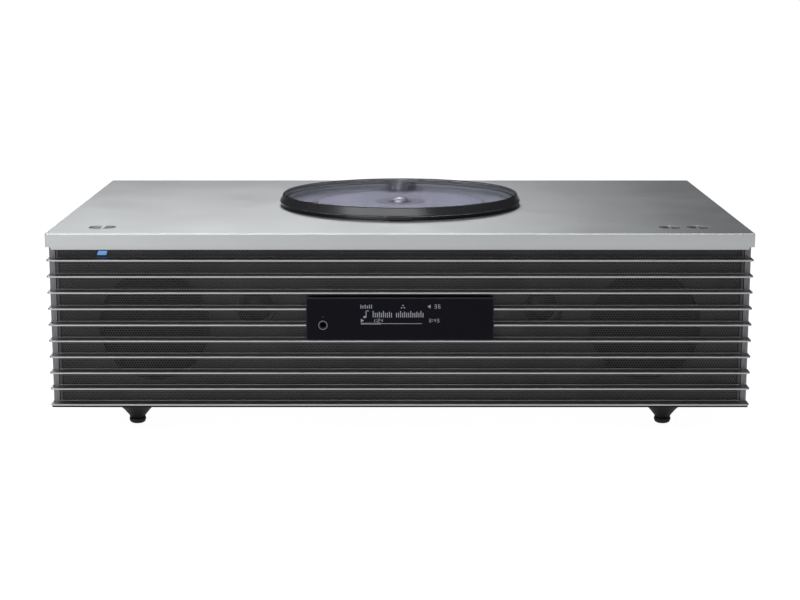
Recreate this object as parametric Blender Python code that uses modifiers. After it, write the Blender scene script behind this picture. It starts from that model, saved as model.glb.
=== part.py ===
"""A compact one-box CD stereo: a flat cabinet under a folded aluminium top, a louvred front grille
with a small display, and a round swivelling disc cover sunk into the top.

All lengths below are in millimetres and are turned into metres as each mesh is made. The origin is on
the floor under the middle of the cabinet. The front faces -Y and +Z is up.
"""

import math

import bmesh
import bpy
from mathutils import Matrix, Vector

MM = 0.001
GAP = 0.3  # air left between two separate pieces that meet
ROUND_STEPS = 56  # sides of the large round pieces
SHARP_DEGREES = 30.0
COLLECTION_NAME = "compact_cd_stereo"

# Cabinet
WIDTH = 450.0
DEPTH = 280.0
TOP_Z = 134.5
SKIRT_HEIGHT = 9.0
TOP_SHEET = 3.0
BODY_BOTTOM_Z = 20.5
BODY_TOP_Z = TOP_Z - SKIRT_HEIGHT - GAP
INSIDE_X = 220.0
SIDE_INNER_X = 220.4
SIDE_OUTER_X = 224.5
FLOOR_SHEET = 4.0
REAR_FACE_Y = DEPTH / 2 - TOP_SHEET - GAP
REAR_SHEET = 4.0

# Louvred front
LOUVER_COUNT = 10
LOUVER_FIRST_Z = 116.65
LOUVER_PITCH = 10.45
LOUVER_THICK = 1.3
LOUVER_TIP_Y = -139.0
LOUVER_ROOT_Y = -131.0
LOUVER_RETURN_Y = -123.0
LOUVER_CORNER = 2.0
MESH_FRONT_Y = LOUVER_ROOT_Y + GAP
MESH_SHEET = 0.8
BAFFLE_FRONT_Y = MESH_FRONT_Y + MESH_SHEET + 0.4
BAFFLE_SHEET = 10.0
BAFFLE_BACK_Y = BAFFLE_FRONT_Y + BAFFLE_SHEET
BAFFLE_TOP_Z = 122.0

# Display
WINDOW_HALF_X = 59.7
WINDOW_LOW_Z = 65.4
WINDOW_HIGH_Z = 92.8
WINDOW_FRONT_Y = -139.3
WINDOW_SHEET = 1.8
HOUSING_TAIL_X = 55.5
HOUSING_TAIL_Z = (68.5, 89.7)
SCREEN_HALF_X = 30.0
SCREEN_Z = (73.5, 90.5)
JACK_X = -49.2
JACK_Z = 75.0
JACK_RADIUS = 3.0

# Feet
FOOT_X = 175.5
FOOT_Y = 95.0
PAD_HEIGHT = 3.6
PAD_RADIUS = 5.55

# Disc cover and well
LID_TOP_Z = 143.0
LID_EDGE_Z = 137.3
LID_SHEET = 3.2
LID_TOP_RADIUS = 82.5
LID_RADIUS = 84.7
WELL_HOLE_RADIUS = 79.6
WELL_RING_RADIUS = 83.0
WELL_RING_Z = 136.8
WELL_FLOOR_Z = 131.2
WELL_FLOOR_SHEET = 2.2
PIVOT_Y = 68.0
PIVOT_CAP_RADIUS = 12.5
SHAFT_RADIUS = 4.1
DISC_RADIUS = 60.0
DISC_HOLE_RADIUS = 7.5
DISC_LOW_Z = 132.7
DISC_SHEET = 1.2

# Disc drive
CHASSIS_Z = (121.5, 123.5)
CHASSIS_X = (-34.0, 54.0)
CHASSIS_Y = (-72.0, 24.0)
RAIL_X = 20.0
RAIL_Z = 114.0
RAIL_RADIUS = 1.5
SLED_REST_Y = -23.0
SLED_HALF_Y = 7.2
GEAR_MODULE = 0.6
GEAR_TEETH = 24
PINION_TEETH = 10
GEAR_Z = (108.5, 111.5)
RACK_PITCH_X = 26.4
RACK_Y = (-48.0, -8.0)
GEAR_Y = -45.0
TOOTH_SHARE = 0.40  # a tooth's share of the circular pitch, slim enough for a free running mesh

# Buttons
POWER_BUTTON = (-192.4, -113.0, 8.0)
VOLUME_BUTTONS = {"volume_down_button": (174.6, -113.8, 6.6), "volume_up_button": (192.4, -113.8, 6.6)}
BUTTON_CLEARANCE = 0.4
KEY_BOARD_Z = (122.5, 124.1)

# Speakers
WOOFER_X = 158.0
WOOFER_Z = 73.0
WOOFER_HOLE_RADIUS = 36.0
TWEETER_X = 92.0
TWEETER_Z = 84.0
TWEETER_HOLE_RADIUS = 13.0
SUBWOOFER_SCALE = 1.5
SUBWOOFER_Y = 22.0
PORT_X = 150.0
PORT_Z = 78.0
PORT_RADIUS = 22.0
PORT_BORE = 19.0
PORT_LENGTH = 70.0

# Rear sockets, as (x, z) of each centre
AC_INLET = (190.0, 45.0)
LAN_JACK = (-60.0, 43.5)
USB_PORT = (-86.0, 41.0)
ANTENNA_SOCKET = (-110.0, 44.0)

# Finishes: colour as sRGB, roughness, metallic
ALUMINIUM = ((0.74, 0.75, 0.75), 0.35, 1.0)
DARK_METAL = ((0.25, 0.25, 0.26), 0.4, 1.0)
LOUVER_GREY = ((0.33, 0.33, 0.34), 0.4, 0.8)
BLACK_MESH = ((0.07, 0.07, 0.07), 0.55, 0.3)
CABINET_BLACK = ((0.10, 0.10, 0.105), 0.55, 0.0)
MOULDED_BLACK = ((0.06, 0.06, 0.065), 0.5, 0.0)
GLOSS_BLACK = ((0.05, 0.05, 0.06), 0.08, 0.0)
SMOKED_ACRYLIC = ((0.16, 0.16, 0.20), 0.05, 0.0)
RUBBER = ((0.03, 0.03, 0.03), 0.8, 0.0)
STEEL = ((0.62, 0.62, 0.60), 0.3, 1.0)
DISC_SILVER = ((0.72, 0.70, 0.80), 0.12, 1.0)
LENS_GLASS = ((0.45, 0.55, 0.75), 0.05, 0.0)
WHITE_NYLON = ((0.85, 0.84, 0.78), 0.45, 0.0)
BOARD_GREEN = ((0.08, 0.22, 0.12), 0.5, 0.0)
CONE_PAPER = ((0.12, 0.12, 0.12), 0.75, 0.0)
LAMP_BLUE = ((0.30, 0.55, 0.90), 0.3, 0.0)
SCREEN_BLACK = ((0.02, 0.02, 0.03), 0.2, 0.0)


def clear_scene():
    for obj in list(bpy.data.objects):
        bpy.data.objects.remove(obj, do_unlink=True)


def new_collection(name):
    collection = bpy.data.collections.new(name)
    bpy.context.scene.collection.children.link(collection)
    return collection


def put_in(obj, collection):
    for old in list(obj.users_collection):
        old.objects.unlink(obj)
    collection.objects.link(obj)


def linear(channel):
    if channel <= 0.04045:
        return channel / 12.92
    return ((channel + 0.055) / 1.055) ** 2.4


def finish(obj, look):
    """Make obj a part of the stereo: its own material, smooth shading and the parts collection."""
    colour, roughness, metallic = look
    material = bpy.data.materials.new(obj.name + "_finish")
    material.use_nodes = True
    shader = material.node_tree.nodes["Principled BSDF"]
    shader.inputs["Base Color"].default_value = (*[linear(c) for c in colour], 1.0)
    shader.inputs["Roughness"].default_value = roughness
    shader.inputs["Metallic"].default_value = metallic
    obj.data.materials.clear()
    obj.data.materials.append(material)
    obj.data.shade_smooth()
    obj.data.set_sharp_from_angle(angle=math.radians(SHARP_DEGREES))
    put_in(obj, PARTS)


def as_cutter(obj):
    obj.hide_render = True
    obj.display_type = "WIRE"
    put_in(obj, CUTTERS)
    return obj


def box(name, low, high):
    """A box between two corners."""
    low, high = Vector(low), Vector(high)
    bpy.ops.mesh.primitive_cube_add(size=1, location=(low + high) / 2 * MM)
    obj = bpy.context.object
    obj.name = name
    size = (high - low) * MM
    obj.data.transform(Matrix.Diagonal((*size, 1)))
    return obj


def rod(name, radius, start, end, segments=24):
    """A cylinder between two points."""
    start, end = Vector(start) * MM, Vector(end) * MM
    along = end - start
    bpy.ops.mesh.primitive_cylinder_add(vertices=segments, radius=radius * MM, depth=along.length)
    obj = bpy.context.object
    obj.name = name
    obj.location = (start + end) / 2
    obj.rotation_euler = along.to_track_quat("Z", "Y").to_euler()
    return obj


def turned(name, profile, origin=(0, 0, 0), facing="up", steps=32):
    """A turned piece. The profile holds (radius, height) pairs that run down the outer side.

    A profile that ends off the axis is closed into a ring. Heights run towards where the piece faces.
    """
    ring = profile[-1][0] > 0
    points = [(radius * MM, 0, height * MM) for radius, height in profile]
    edges = [(i, i + 1) for i in range(len(points) - 1)]
    if ring:
        edges.append((len(points) - 1, 0))
    mesh = bpy.data.meshes.new(name)
    mesh.from_pydata(points, edges, [])
    line = bpy.data.objects.new(name + "_profile", mesh)
    bpy.context.scene.collection.objects.link(line)
    line.location = Vector(origin) * MM
    tilt = {"up": 0, "front": 90, "rear": -90, "down": 180}[facing]
    line.rotation_euler = (math.radians(tilt), 0, 0)
    screw = line.modifiers.new("turn", "SCREW")
    screw.axis = "Z"
    screw.steps = steps
    screw.render_steps = steps
    screw.use_merge_vertices = True
    screw.merge_threshold = 0.00001
    return as_mesh(line, name)


def prism(name, outlines, low, high, origin=(0, 0), facing="up"):
    """A flat outline, with any further outlines as holes, made solid between two heights."""
    curve = bpy.data.curves.new(name, "CURVE")
    curve.dimensions = "2D"
    curve.fill_mode = "BOTH"
    curve.extrude = (high - low) / 2 * MM
    for outline in outlines:
        spline = curve.splines.new("POLY")
        spline.points.add(len(outline) - 1)
        for point, (x, y) in zip(spline.points, outline):
            point.co = (x * MM, y * MM, 0, 1)
        spline.use_cyclic_u = True
    flat = bpy.data.objects.new(name + "_outline", curve)
    bpy.context.scene.collection.objects.link(flat)
    obj = as_mesh(flat, name)
    middle = (low + high) / 2 * MM
    if facing == "up":
        obj.location = (origin[0] * MM, origin[1] * MM, middle)
    else:
        obj.location = (origin[0] * MM, -middle, origin[1] * MM)
        obj.rotation_euler = (math.radians(90), 0, 0)
    return obj


def as_mesh(source, name):
    """Turn a curve or a turned profile into a welded mesh object of the same shape."""
    bpy.context.view_layer.update()
    evaluated = source.evaluated_get(bpy.context.evaluated_depsgraph_get())
    mesh = bpy.data.meshes.new_from_object(evaluated)
    weld(mesh)
    obj = bpy.data.objects.new(name, mesh)
    obj.matrix_world = source.matrix_world
    bpy.context.scene.collection.objects.link(obj)
    bpy.data.objects.remove(source, do_unlink=True)
    return obj


def weld(mesh):
    work = bmesh.new()
    work.from_mesh(mesh)
    bmesh.ops.remove_doubles(work, verts=work.verts, dist=0.000005)
    work.to_mesh(mesh)
    work.free()


def combine(obj, tools, operation):
    for tool in tools:
        modifier = obj.modifiers.new(operation.lower(), "BOOLEAN")
        modifier.operation = operation
        modifier.object = as_cutter(tool)
    return obj


def cut(obj, *tools):
    return combine(obj, tools, "DIFFERENCE")


def fuse(obj, *tools):
    return combine(obj, tools, "UNION")


def round_edges(obj, width, segments=2):
    bevel = obj.modifiers.new("rounding", "BEVEL")
    bevel.width = width * MM
    bevel.segments = segments
    bevel.limit_method = "ANGLE"
    bevel.angle_limit = math.radians(40)
    return obj


def corner_arc(centre, radius, start, end, count=4):
    """Points on an arc between two angles in degrees."""
    angles = [math.radians(start + (end - start) * i / count) for i in range(count + 1)]
    return [(centre[0] + radius * math.cos(a), centre[1] + radius * math.sin(a)) for a in angles]


def flange_z():
    """The underside of the folded top's flat sheet."""
    return TOP_Z - TOP_SHEET


def louver_heights():
    return [LOUVER_FIRST_Z - LOUVER_PITCH * i for i in range(LOUVER_COUNT)]


# Enclosure


def make_top_panel():
    half_x, half_y = WIDTH / 2, DEPTH / 2
    panel = box("top_panel", (-half_x, -half_y, TOP_Z - SKIRT_HEIGHT), (half_x, half_y, TOP_Z))
    round_edges(panel, 0.8)
    hollow = box(
        "top_hollow",
        (TOP_SHEET - half_x, TOP_SHEET - half_y, TOP_Z - SKIRT_HEIGHT - 5),
        (half_x - TOP_SHEET, half_y - TOP_SHEET, flange_z()),
    )
    well_hole = rod("well_hole", WELL_HOLE_RADIUS, (0, 0, 120), (0, 0, 140), ROUND_STEPS)
    button_holes = [
        rod("button_hole", radius + BUTTON_CLEARANCE, (x, y, 125), (x, y, 140), 20)
        for x, y, radius in (POWER_BUTTON, *VOLUME_BUTTONS.values())
    ]
    cut(panel, hollow, well_hole, *button_holes)
    finish(panel, ALUMINIUM)


def make_side_panels():
    for name, side in (("side_panel_left", -1), ("side_panel_right", 1)):
        low_x, high_x = sorted((side * SIDE_INNER_X, side * SIDE_OUTER_X))
        front_y = LOUVER_RETURN_Y + GAP
        panel = box(name, (low_x, front_y, BODY_BOTTOM_Z), (high_x, REAR_FACE_Y, BODY_TOP_Z))
        rib_low_x, rib_high_x = sorted((side * (SIDE_OUTER_X - 1), side * WIDTH / 2))
        half = LOUVER_THICK / 2
        for z in louver_heights():
            rib = box("rib", (rib_low_x, front_y, z - half), (rib_high_x, REAR_FACE_Y, z + half))
            fuse(panel, rib)
        finish(panel, CABINET_BLACK)


def make_louver_frame():
    """Ten thin louvers and the two corner posts that carry them, as one casting."""
    outer_x = WIDTH / 2
    r = LOUVER_CORNER
    right = corner_arc((outer_x - r, LOUVER_TIP_Y + r), r, 0, -90)
    left = [(-x, y) for x, y in reversed(right)]
    inner = [
        (-SIDE_INNER_X, LOUVER_RETURN_Y),
        (-SIDE_INNER_X, LOUVER_ROOT_Y),
        (SIDE_INNER_X, LOUVER_ROOT_Y),
        (SIDE_INNER_X, LOUVER_RETURN_Y),
    ]
    outline = [(outer_x, LOUVER_RETURN_Y), *right, *left, (-outer_x, LOUVER_RETURN_Y), *inner]
    lowest = louver_heights()[-1]
    half = LOUVER_THICK / 2
    frame = prism("louver_frame", [outline], lowest - half, lowest + half)
    stack = frame.modifiers.new("stack", "ARRAY")
    stack.count = LOUVER_COUNT
    stack.use_relative_offset = False
    stack.use_constant_offset = True
    stack.constant_offset_displace = (0, 0, LOUVER_PITCH * MM)
    for side in (-1, 1):
        post = [(SIDE_INNER_X, LOUVER_RETURN_Y), (SIDE_INNER_X, LOUVER_ROOT_Y)]
        post += corner_arc((SIDE_OUTER_X - r, LOUVER_ROOT_Y + r), r, -90, 0)
        post += [(SIDE_OUTER_X, LOUVER_RETURN_Y)]
        fuse(frame, prism("post", [[(side * x, y) for x, y in post]], BODY_BOTTOM_Z + GAP, BODY_TOP_Z))
    opening = box(
        "display_gap",
        (-WINDOW_HALF_X - GAP, LOUVER_TIP_Y - 2, WINDOW_LOW_Z - GAP),
        (WINDOW_HALF_X + GAP, LOUVER_ROOT_Y + 2, WINDOW_HIGH_Z + GAP),
    )
    cut(frame, opening)
    finish(frame, LOUVER_GREY)


def make_grille_mesh():
    mesh_back = MESH_FRONT_Y + MESH_SHEET
    mesh = box(
        "grille_mesh",
        (-INSIDE_X, MESH_FRONT_Y, BODY_BOTTOM_Z + 0.5),
        (INSIDE_X, mesh_back, flange_z() - GAP),
    )
    opening = box(
        "mesh_opening",
        (-HOUSING_TAIL_X - 1, MESH_FRONT_Y - 2, HOUSING_TAIL_Z[0] - 1),
        (HOUSING_TAIL_X + 1, mesh_back + 2, HOUSING_TAIL_Z[1] + 1),
    )
    cut(mesh, opening)
    finish(mesh, BLACK_MESH)


def make_front_baffle():
    floor_top = BODY_BOTTOM_Z + FLOOR_SHEET + 0.4
    baffle = box(
        "front_baffle",
        (-INSIDE_X, BAFFLE_FRONT_Y, floor_top),
        (INSIDE_X, BAFFLE_BACK_Y, BAFFLE_TOP_Z),
    )
    front, back = BAFFLE_FRONT_Y - 2, BAFFLE_BACK_Y + 2
    for side in (-1, 1):
        for x, z, radius in (
            (WOOFER_X, WOOFER_Z, WOOFER_HOLE_RADIUS),
            (TWEETER_X, TWEETER_Z, TWEETER_HOLE_RADIUS),
        ):
            cut(baffle, rod("driver_hole", radius, (side * x, front, z), (side * x, back, z), 24))
    opening = box(
        "baffle_opening",
        (-HOUSING_TAIL_X - 0.5, front, HOUSING_TAIL_Z[0] - 0.5),
        (HOUSING_TAIL_X + 0.5, back, HOUSING_TAIL_Z[1] + 0.5),
    )
    cut(baffle, opening)
    finish(baffle, CABINET_BLACK)


def make_bottom_panel():
    top = BODY_BOTTOM_Z + FLOOR_SHEET
    panel = box("bottom_panel", (-INSIDE_X, BAFFLE_FRONT_Y, BODY_BOTTOM_Z), (INSIDE_X, REAR_FACE_Y, top))
    sub_hole = rod(
        "sub_hole",
        WOOFER_HOLE_RADIUS * SUBWOOFER_SCALE,
        (0, SUBWOOFER_Y, BODY_BOTTOM_Z - 2),
        (0, SUBWOOFER_Y, top + 2),
        32,
    )
    bosses = [
        rod("boss", 3, (x, y, top - 1), (x, y, 33.7), 12) for x in (-184, -78) for y in (-24, 106)
    ]
    bosses += [rod("boss", 3, (x, y, top - 1), (x, y, 27.7), 12) for x in (90, 200) for y in (18, 100)]
    fuse(panel, *bosses)
    cut(panel, sub_hole)
    finish(panel, CABINET_BLACK)


def make_rear_panel():
    inner = REAR_FACE_Y - REAR_SHEET
    low = BODY_BOTTOM_Z + FLOOR_SHEET + 0.4
    panel = box("rear_panel", (-INSIDE_X, inner, low), (INSIDE_X, REAR_FACE_Y, flange_z() - GAP))
    near, far = inner - 2, REAR_FACE_Y + 2
    for side in (-1, 1):
        x = side * PORT_X
        cut(panel, rod("port_hole", PORT_RADIUS + GAP, (x, near, PORT_Z), (x, far, PORT_Z), 24))
    for (x, z), half_x, half_z in ((AC_INLET, 11.3, 6.3), (LAN_JACK, 8.3, 7.1), (USB_PORT, 7.3, 3.8)):
        cut(panel, box("socket_hole", (x - half_x, near, z - half_z), (x + half_x, far, z + half_z)))
    x, z = ANTENNA_SOCKET
    cut(panel, rod("socket_hole", 5.1, (x, near, z), (x, far, z), 20))
    finish(panel, CABINET_BLACK)


# Display and lamp


def make_display():
    window_back = WINDOW_FRONT_Y + WINDOW_SHEET
    housing_front = window_back + GAP
    window = box(
        "display_window",
        (-WINDOW_HALF_X, WINDOW_FRONT_Y, WINDOW_LOW_Z),
        (WINDOW_HALF_X, window_back, WINDOW_HIGH_Z),
    )
    cut(window, rod("jack_hole", JACK_RADIUS + GAP, (JACK_X, -145, JACK_Z), (JACK_X, -130, JACK_Z)))
    finish(window, GLOSS_BLACK)

    housing = box(
        "display_housing",
        (0.5 - WINDOW_HALF_X, housing_front, WINDOW_LOW_Z + GAP),
        (WINDOW_HALF_X - 0.5, LOUVER_ROOT_Y - GAP, WINDOW_HIGH_Z - GAP),
    )
    tail = box(
        "housing_tail",
        (-HOUSING_TAIL_X, LOUVER_ROOT_Y - 2, HOUSING_TAIL_Z[0]),
        (HOUSING_TAIL_X, BAFFLE_BACK_Y + 7, HOUSING_TAIL_Z[1]),
    )
    recess = box(
        "screen_recess",
        (-SCREEN_HALF_X - 0.4, housing_front - 1, SCREEN_Z[0] - 0.4),
        (SCREEN_HALF_X + 0.4, housing_front + 1.8, SCREEN_Z[1] + 0.4),
    )
    jack_bore = rod("jack_bore", JACK_RADIUS + 0.4, (JACK_X, -145, JACK_Z), (JACK_X, -105, JACK_Z))
    fuse(housing, tail)
    cut(housing, recess, jack_bore)
    finish(housing, MOULDED_BLACK)

    screen = box(
        "display_screen",
        (-SCREEN_HALF_X, housing_front + 0.2, SCREEN_Z[0]),
        (SCREEN_HALF_X, housing_front + 1.5, SCREEN_Z[1]),
    )
    finish(screen, SCREEN_BLACK)

    jack_profile = [(0, -15), (1.8, -15), (1.8, 0), (3, 0), (3, -23), (0, -23)]
    jack = turned("headphone_jack", jack_profile, (JACK_X, WINDOW_FRONT_Y - 0.2, JACK_Z), "front", 16)
    finish(jack, DARK_METAL)

    lamp = prism(
        "status_lamp",
        [[(-3.4, -1.35), (2.5, -1.35), (3.3, 1.35), (-2.4, 1.35)]],
        -LOUVER_ROOT_Y,
        -LOUVER_ROOT_Y + 0.9,
        (-190.0, 120.6),
        "front",
    )
    finish(lamp, LAMP_BLUE)


# Feet


def make_feet():
    foot_profile = [(0, 20.2), (18, 20.2), (17.2, 18), (14.5, 14), (12, 11.2), (10.5, 9.3)]
    foot_profile += [(PAD_RADIUS, PAD_HEIGHT + GAP), (0, PAD_HEIGHT + GAP)]
    pad_profile = [(0, PAD_HEIGHT), (PAD_RADIUS, PAD_HEIGHT), (PAD_RADIUS, 0.8), (4.8, 0), (0, 0)]
    for end, y in (("front", -FOOT_Y), ("rear", FOOT_Y)):
        for side, x in (("left", -FOOT_X), ("right", FOOT_X)):
            finish(turned(f"foot_{end}_{side}", foot_profile, (x, y, 0), steps=18), MOULDED_BLACK)
            finish(turned(f"foot_pad_{end}_{side}", pad_profile, (x, y, 0), steps=16), RUBBER)


# Disc cover, well and drive


def make_lid():
    """The clear cover and what turns with it. Each piece's origin is on the pivot's axis."""
    under = LID_TOP_Z - LID_SHEET
    cover_profile = [
        (0, LID_TOP_Z),
        (LID_TOP_RADIUS - 0.6, LID_TOP_Z),
        (LID_TOP_RADIUS, LID_TOP_Z - 0.6),
        (LID_RADIUS, LID_EDGE_Z + 0.3),
        (LID_RADIUS - 0.3, LID_EDGE_Z),
        (LID_TOP_RADIUS - 0.3, LID_EDGE_Z),
        (81, under),
        (0, under),
    ]
    cover = turned("lid_cover", cover_profile, steps=ROUND_STEPS)
    finish(cover, SMOKED_ACRYLIC)

    cap_top = under - GAP
    cap_profile = [(0, cap_top), (PIVOT_CAP_RADIUS, cap_top), (PIVOT_CAP_RADIUS, 137.1), (0, 137.1)]
    cap = turned("lid_pivot_cap", cap_profile, (0, PIVOT_Y, 0), steps=24)
    finish(cap, DARK_METAL)

    shaft_profile = [
        (0, 136.8),
        (6.5, 136.8),
        (6.5, 133.8),
        (SHAFT_RADIUS, 133.8),
        (SHAFT_RADIUS, 110.5),
        (6.5, 110.5),
        (6.5, 108),
        (0, 108),
    ]
    finish(turned("lid_pivot_shaft", shaft_profile, (0, PIVOT_Y, 0), steps=16), STEEL)

    tab = box("lid_finger_tab", (-7.7, -LID_RADIUS, 135.0), (7.7, -83.4, LID_EDGE_Z - GAP))
    finish(tab, MOULDED_BLACK)

    axis = bpy.data.objects.new("lid_pivot_axis", None)
    axis.location = (0, PIVOT_Y * MM, 0)
    PARTS.objects.link(axis)
    bpy.context.view_layer.update()
    for piece in (cover, tab):
        piece.parent = axis
        piece.matrix_parent_inverse = axis.matrix_world.inverted()


def make_disc_well():
    floor_low = WELL_FLOOR_Z - WELL_FLOOR_SHEET
    well_profile = [
        (WELL_RING_RADIUS, WELL_RING_Z),
        (WELL_RING_RADIUS, TOP_Z + GAP),
        (79.2, TOP_Z + GAP),
        (79.2, floor_low),
        (17, floor_low),
        (17, WELL_FLOOR_Z),
        (77.2, WELL_FLOOR_Z),
        (77.2, 135.6),
        (79, WELL_RING_Z),
    ]
    well = turned("disc_well", well_profile, steps=ROUND_STEPS)
    posts = [
        rod("drive_post", 3, (x, y, CHASSIS_Z[1] + GAP), (x, y, floor_low + 1), 12)
        for x, y in ((-30, -64), (44, -56), (-30, 18), (44, 18))
    ]
    fuse(well, *posts)
    lens_slot = box("lens_slot", (-10.5, -66, floor_low - 1), (10.5, -15, WELL_FLOOR_Z + 1))
    bush_hole = rod("bush_hole", 7.3, (0, PIVOT_Y, floor_low - 1), (0, PIVOT_Y, WELL_FLOOR_Z + 1))
    cut(well, lens_slot, bush_hole)
    finish(well, MOULDED_BLACK)

    bush_profile = [
        (7, 133.4),
        (7, floor_low - GAP),
        (10, floor_low - GAP),
        (10, 125.5),
        (7, 125.5),
        (7, 112),
        (SHAFT_RADIUS + GAP, 112),
        (SHAFT_RADIUS + GAP, 133.4),
    ]
    finish(turned("pivot_bush", bush_profile, (0, PIVOT_Y, 0), steps=16), WHITE_NYLON)


def make_spindle():
    disc_top = DISC_LOW_Z + DISC_SHEET
    disc_profile = [
        (DISC_RADIUS, disc_top),
        (DISC_RADIUS, DISC_LOW_Z),
        (DISC_HOLE_RADIUS, DISC_LOW_Z),
        (DISC_HOLE_RADIUS, disc_top),
    ]
    finish(turned("compact_disc", disc_profile, steps=ROUND_STEPS), DISC_SILVER)

    table_top = DISC_LOW_Z - GAP
    hub_profile = [
        (0, 136.9),
        (3, 136.7),
        (6, 135.8),
        (7.15, 134.4),
        (7.15, table_top),
        (15, table_top),
        (15, 129.4),
        (3, 129.4),
        (3, 127),
        (1.2, 127),
        (1.2, 113.5),
        (0, 113.5),
    ]
    finish(turned("spindle_hub", hub_profile, steps=24), MOULDED_BLACK)

    motor_top = CHASSIS_Z[0] - GAP
    motor_profile = [(0, 113), (1.6, 113), (1.6, motor_top), (14, motor_top), (14, 110), (0, 110)]
    finish(turned("spindle_motor", motor_profile, steps=24), STEEL)


def involute(radius, base_radius):
    """The involute function at a radius: tan(a) - a, where cos(a) is base_radius / radius."""
    angle = math.acos(min(1, base_radius / radius))
    return math.tan(angle) - angle


def gear_outline(teeth, first_tooth_degrees):
    """An involute spur gear's outline, with slim short teeth that run freely."""
    pitch_radius = GEAR_MODULE * teeth / 2
    base_radius = pitch_radius * math.cos(math.radians(20))
    root, tip = pitch_radius - 0.75 * GEAR_MODULE, pitch_radius + 0.75 * GEAR_MODULE
    half_at_pitch = math.pi / teeth * TOOTH_SHARE

    def half_angle(radius):
        radius = max(radius, base_radius)
        return half_at_pitch + involute(pitch_radius, base_radius) - involute(radius, base_radius)

    flank = [(radius, half_angle(radius)) for radius in (root, tip)]
    points = []
    for tooth in range(teeth):
        middle = math.radians(first_tooth_degrees) + 2 * math.pi * tooth / teeth
        sides = [(radius, middle - angle) for radius, angle in flank]
        sides += [(radius, middle + angle) for radius, angle in reversed(flank)]
        points += [(radius * math.cos(a), radius * math.sin(a)) for radius, a in sides]
    return points


def rack_outline():
    """The straight rack that the sled gear drives. A gap between two teeth faces the gear's axis."""
    pitch = math.pi * GEAR_MODULE
    slope = math.tan(math.radians(20))
    tip_x, root_x = RACK_PITCH_X + 0.75 * GEAR_MODULE, RACK_PITCH_X - 0.75 * GEAR_MODULE
    half = pitch * TOOTH_SHARE / 2
    tip_half = half - slope * (tip_x - RACK_PITCH_X)
    root_half = half + slope * (RACK_PITCH_X - root_x)
    back_x = RAIL_X + 3.6
    low, high = RACK_Y
    centres = [GEAR_Y + pitch * (i + 0.5) for i in range(-2, 20)]
    outline = [(back_x, low), (root_x, low)]
    for y in centres:
        if low + 1 < y < high - 1:
            outline += [(root_x, y - root_half), (tip_x, y - tip_half)]
            outline += [(tip_x, y + tip_half), (root_x, y + root_half)]
    return outline + [(root_x, high), (back_x, high)]


def circle(radius, segments=16):
    return corner_arc((0, 0), radius, 0, 360 - 360 / segments, segments - 1)


def make_drive():
    gear_x = RACK_PITCH_X + GEAR_MODULE * GEAR_TEETH / 2
    pinion_x = gear_x + GEAR_MODULE * (GEAR_TEETH + PINION_TEETH) / 2
    low, high = CHASSIS_Z

    chassis = box("drive_chassis", (CHASSIS_X[0], CHASSIS_Y[0], low), (CHASSIS_X[1], CHASSIS_Y[1], high))
    for x in (-RAIL_X, RAIL_X):
        for y in (CHASSIS_Y[0] + 1.7, -7.5):
            fuse(chassis, box("rail_lug", (x - 3, y - 1.5, 110.5), (x + 3.2, y + 1.5, low + 1)))
    fuse(chassis, rod("gear_pin", 1.5, (gear_x, GEAR_Y, 107.8), (gear_x, GEAR_Y, low + 1), 16))
    for x in (-RAIL_X, RAIL_X):
        hole = rod("rail_hole", RAIL_RADIUS + GAP, (x, -80, RAIL_Z), (x, 0, RAIL_Z), 16)
        cut(chassis, hole)
        name = "guide_rail_left" if x < 0 else "guide_rail_right"
        rail = rod(name, RAIL_RADIUS, (x, CHASSIS_Y[0] + 0.5, RAIL_Z), (x, -6.3, RAIL_Z), 16)
        finish(rail, STEEL)
    cut(chassis, box("lens_window", (-10.5, -68, low - 1), (10.5, -16, high + 1)))
    cut(chassis, rod("shaft_hole", 4, (0, 0, low - 1), (0, 0, high + 1), 20))
    finish(chassis, STEEL)

    near, far = SLED_REST_Y - SLED_HALF_Y, SLED_REST_Y + SLED_HALF_Y
    sled = box("pickup_sled", (-RAIL_X - 3.4, near, GEAR_Z[0]), (RAIL_X + 4.5, far, 117.5))
    tower = box("lens_tower", (-8, SLED_REST_Y - 6, 117), (8, SLED_REST_Y + 6, 129.6))
    fuse(sled, tower, prism("rack", [rack_outline()], GEAR_Z[0], GEAR_Z[1]))
    for x in (-RAIL_X, RAIL_X):
        cut(sled, rod("sled_bore", RAIL_RADIUS + GAP, (x, -50, RAIL_Z), (x, 0, RAIL_Z), 16))
    finish(sled, MOULDED_BLACK)
    lens_profile = [(0, 131.1), (1.6, 130.9), (2.6, 130.4), (2.6, 129.9), (0, 129.9)]
    finish(turned("pickup_lens", lens_profile, (0, SLED_REST_Y, 0), steps=20), LENS_GLASS)

    gear = prism("sled_gear", [gear_outline(GEAR_TEETH, 0), circle(1.8)], *GEAR_Z, (gear_x, GEAR_Y))
    finish(gear, WHITE_NYLON)
    pinion_teeth = gear_outline(PINION_TEETH, 180 + 180 / PINION_TEETH)
    pinion = prism("motor_pinion", [pinion_teeth], *GEAR_Z, (pinion_x, GEAR_Y))
    fuse(pinion, rod("pinion_shaft", 0.8, (pinion_x, GEAR_Y, 110), (pinion_x, GEAR_Y, 116), 12))
    finish(pinion, WHITE_NYLON)
    motor_top = low - GAP
    motor_profile = [(0, motor_top), (6.5, motor_top), (6.5, 112.3), (1.2, 112.3), (1.2, 117), (0, 117)]
    finish(turned("sled_motor", motor_profile, (pinion_x, GEAR_Y, 0), steps=16), STEEL)


# Buttons


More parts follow.
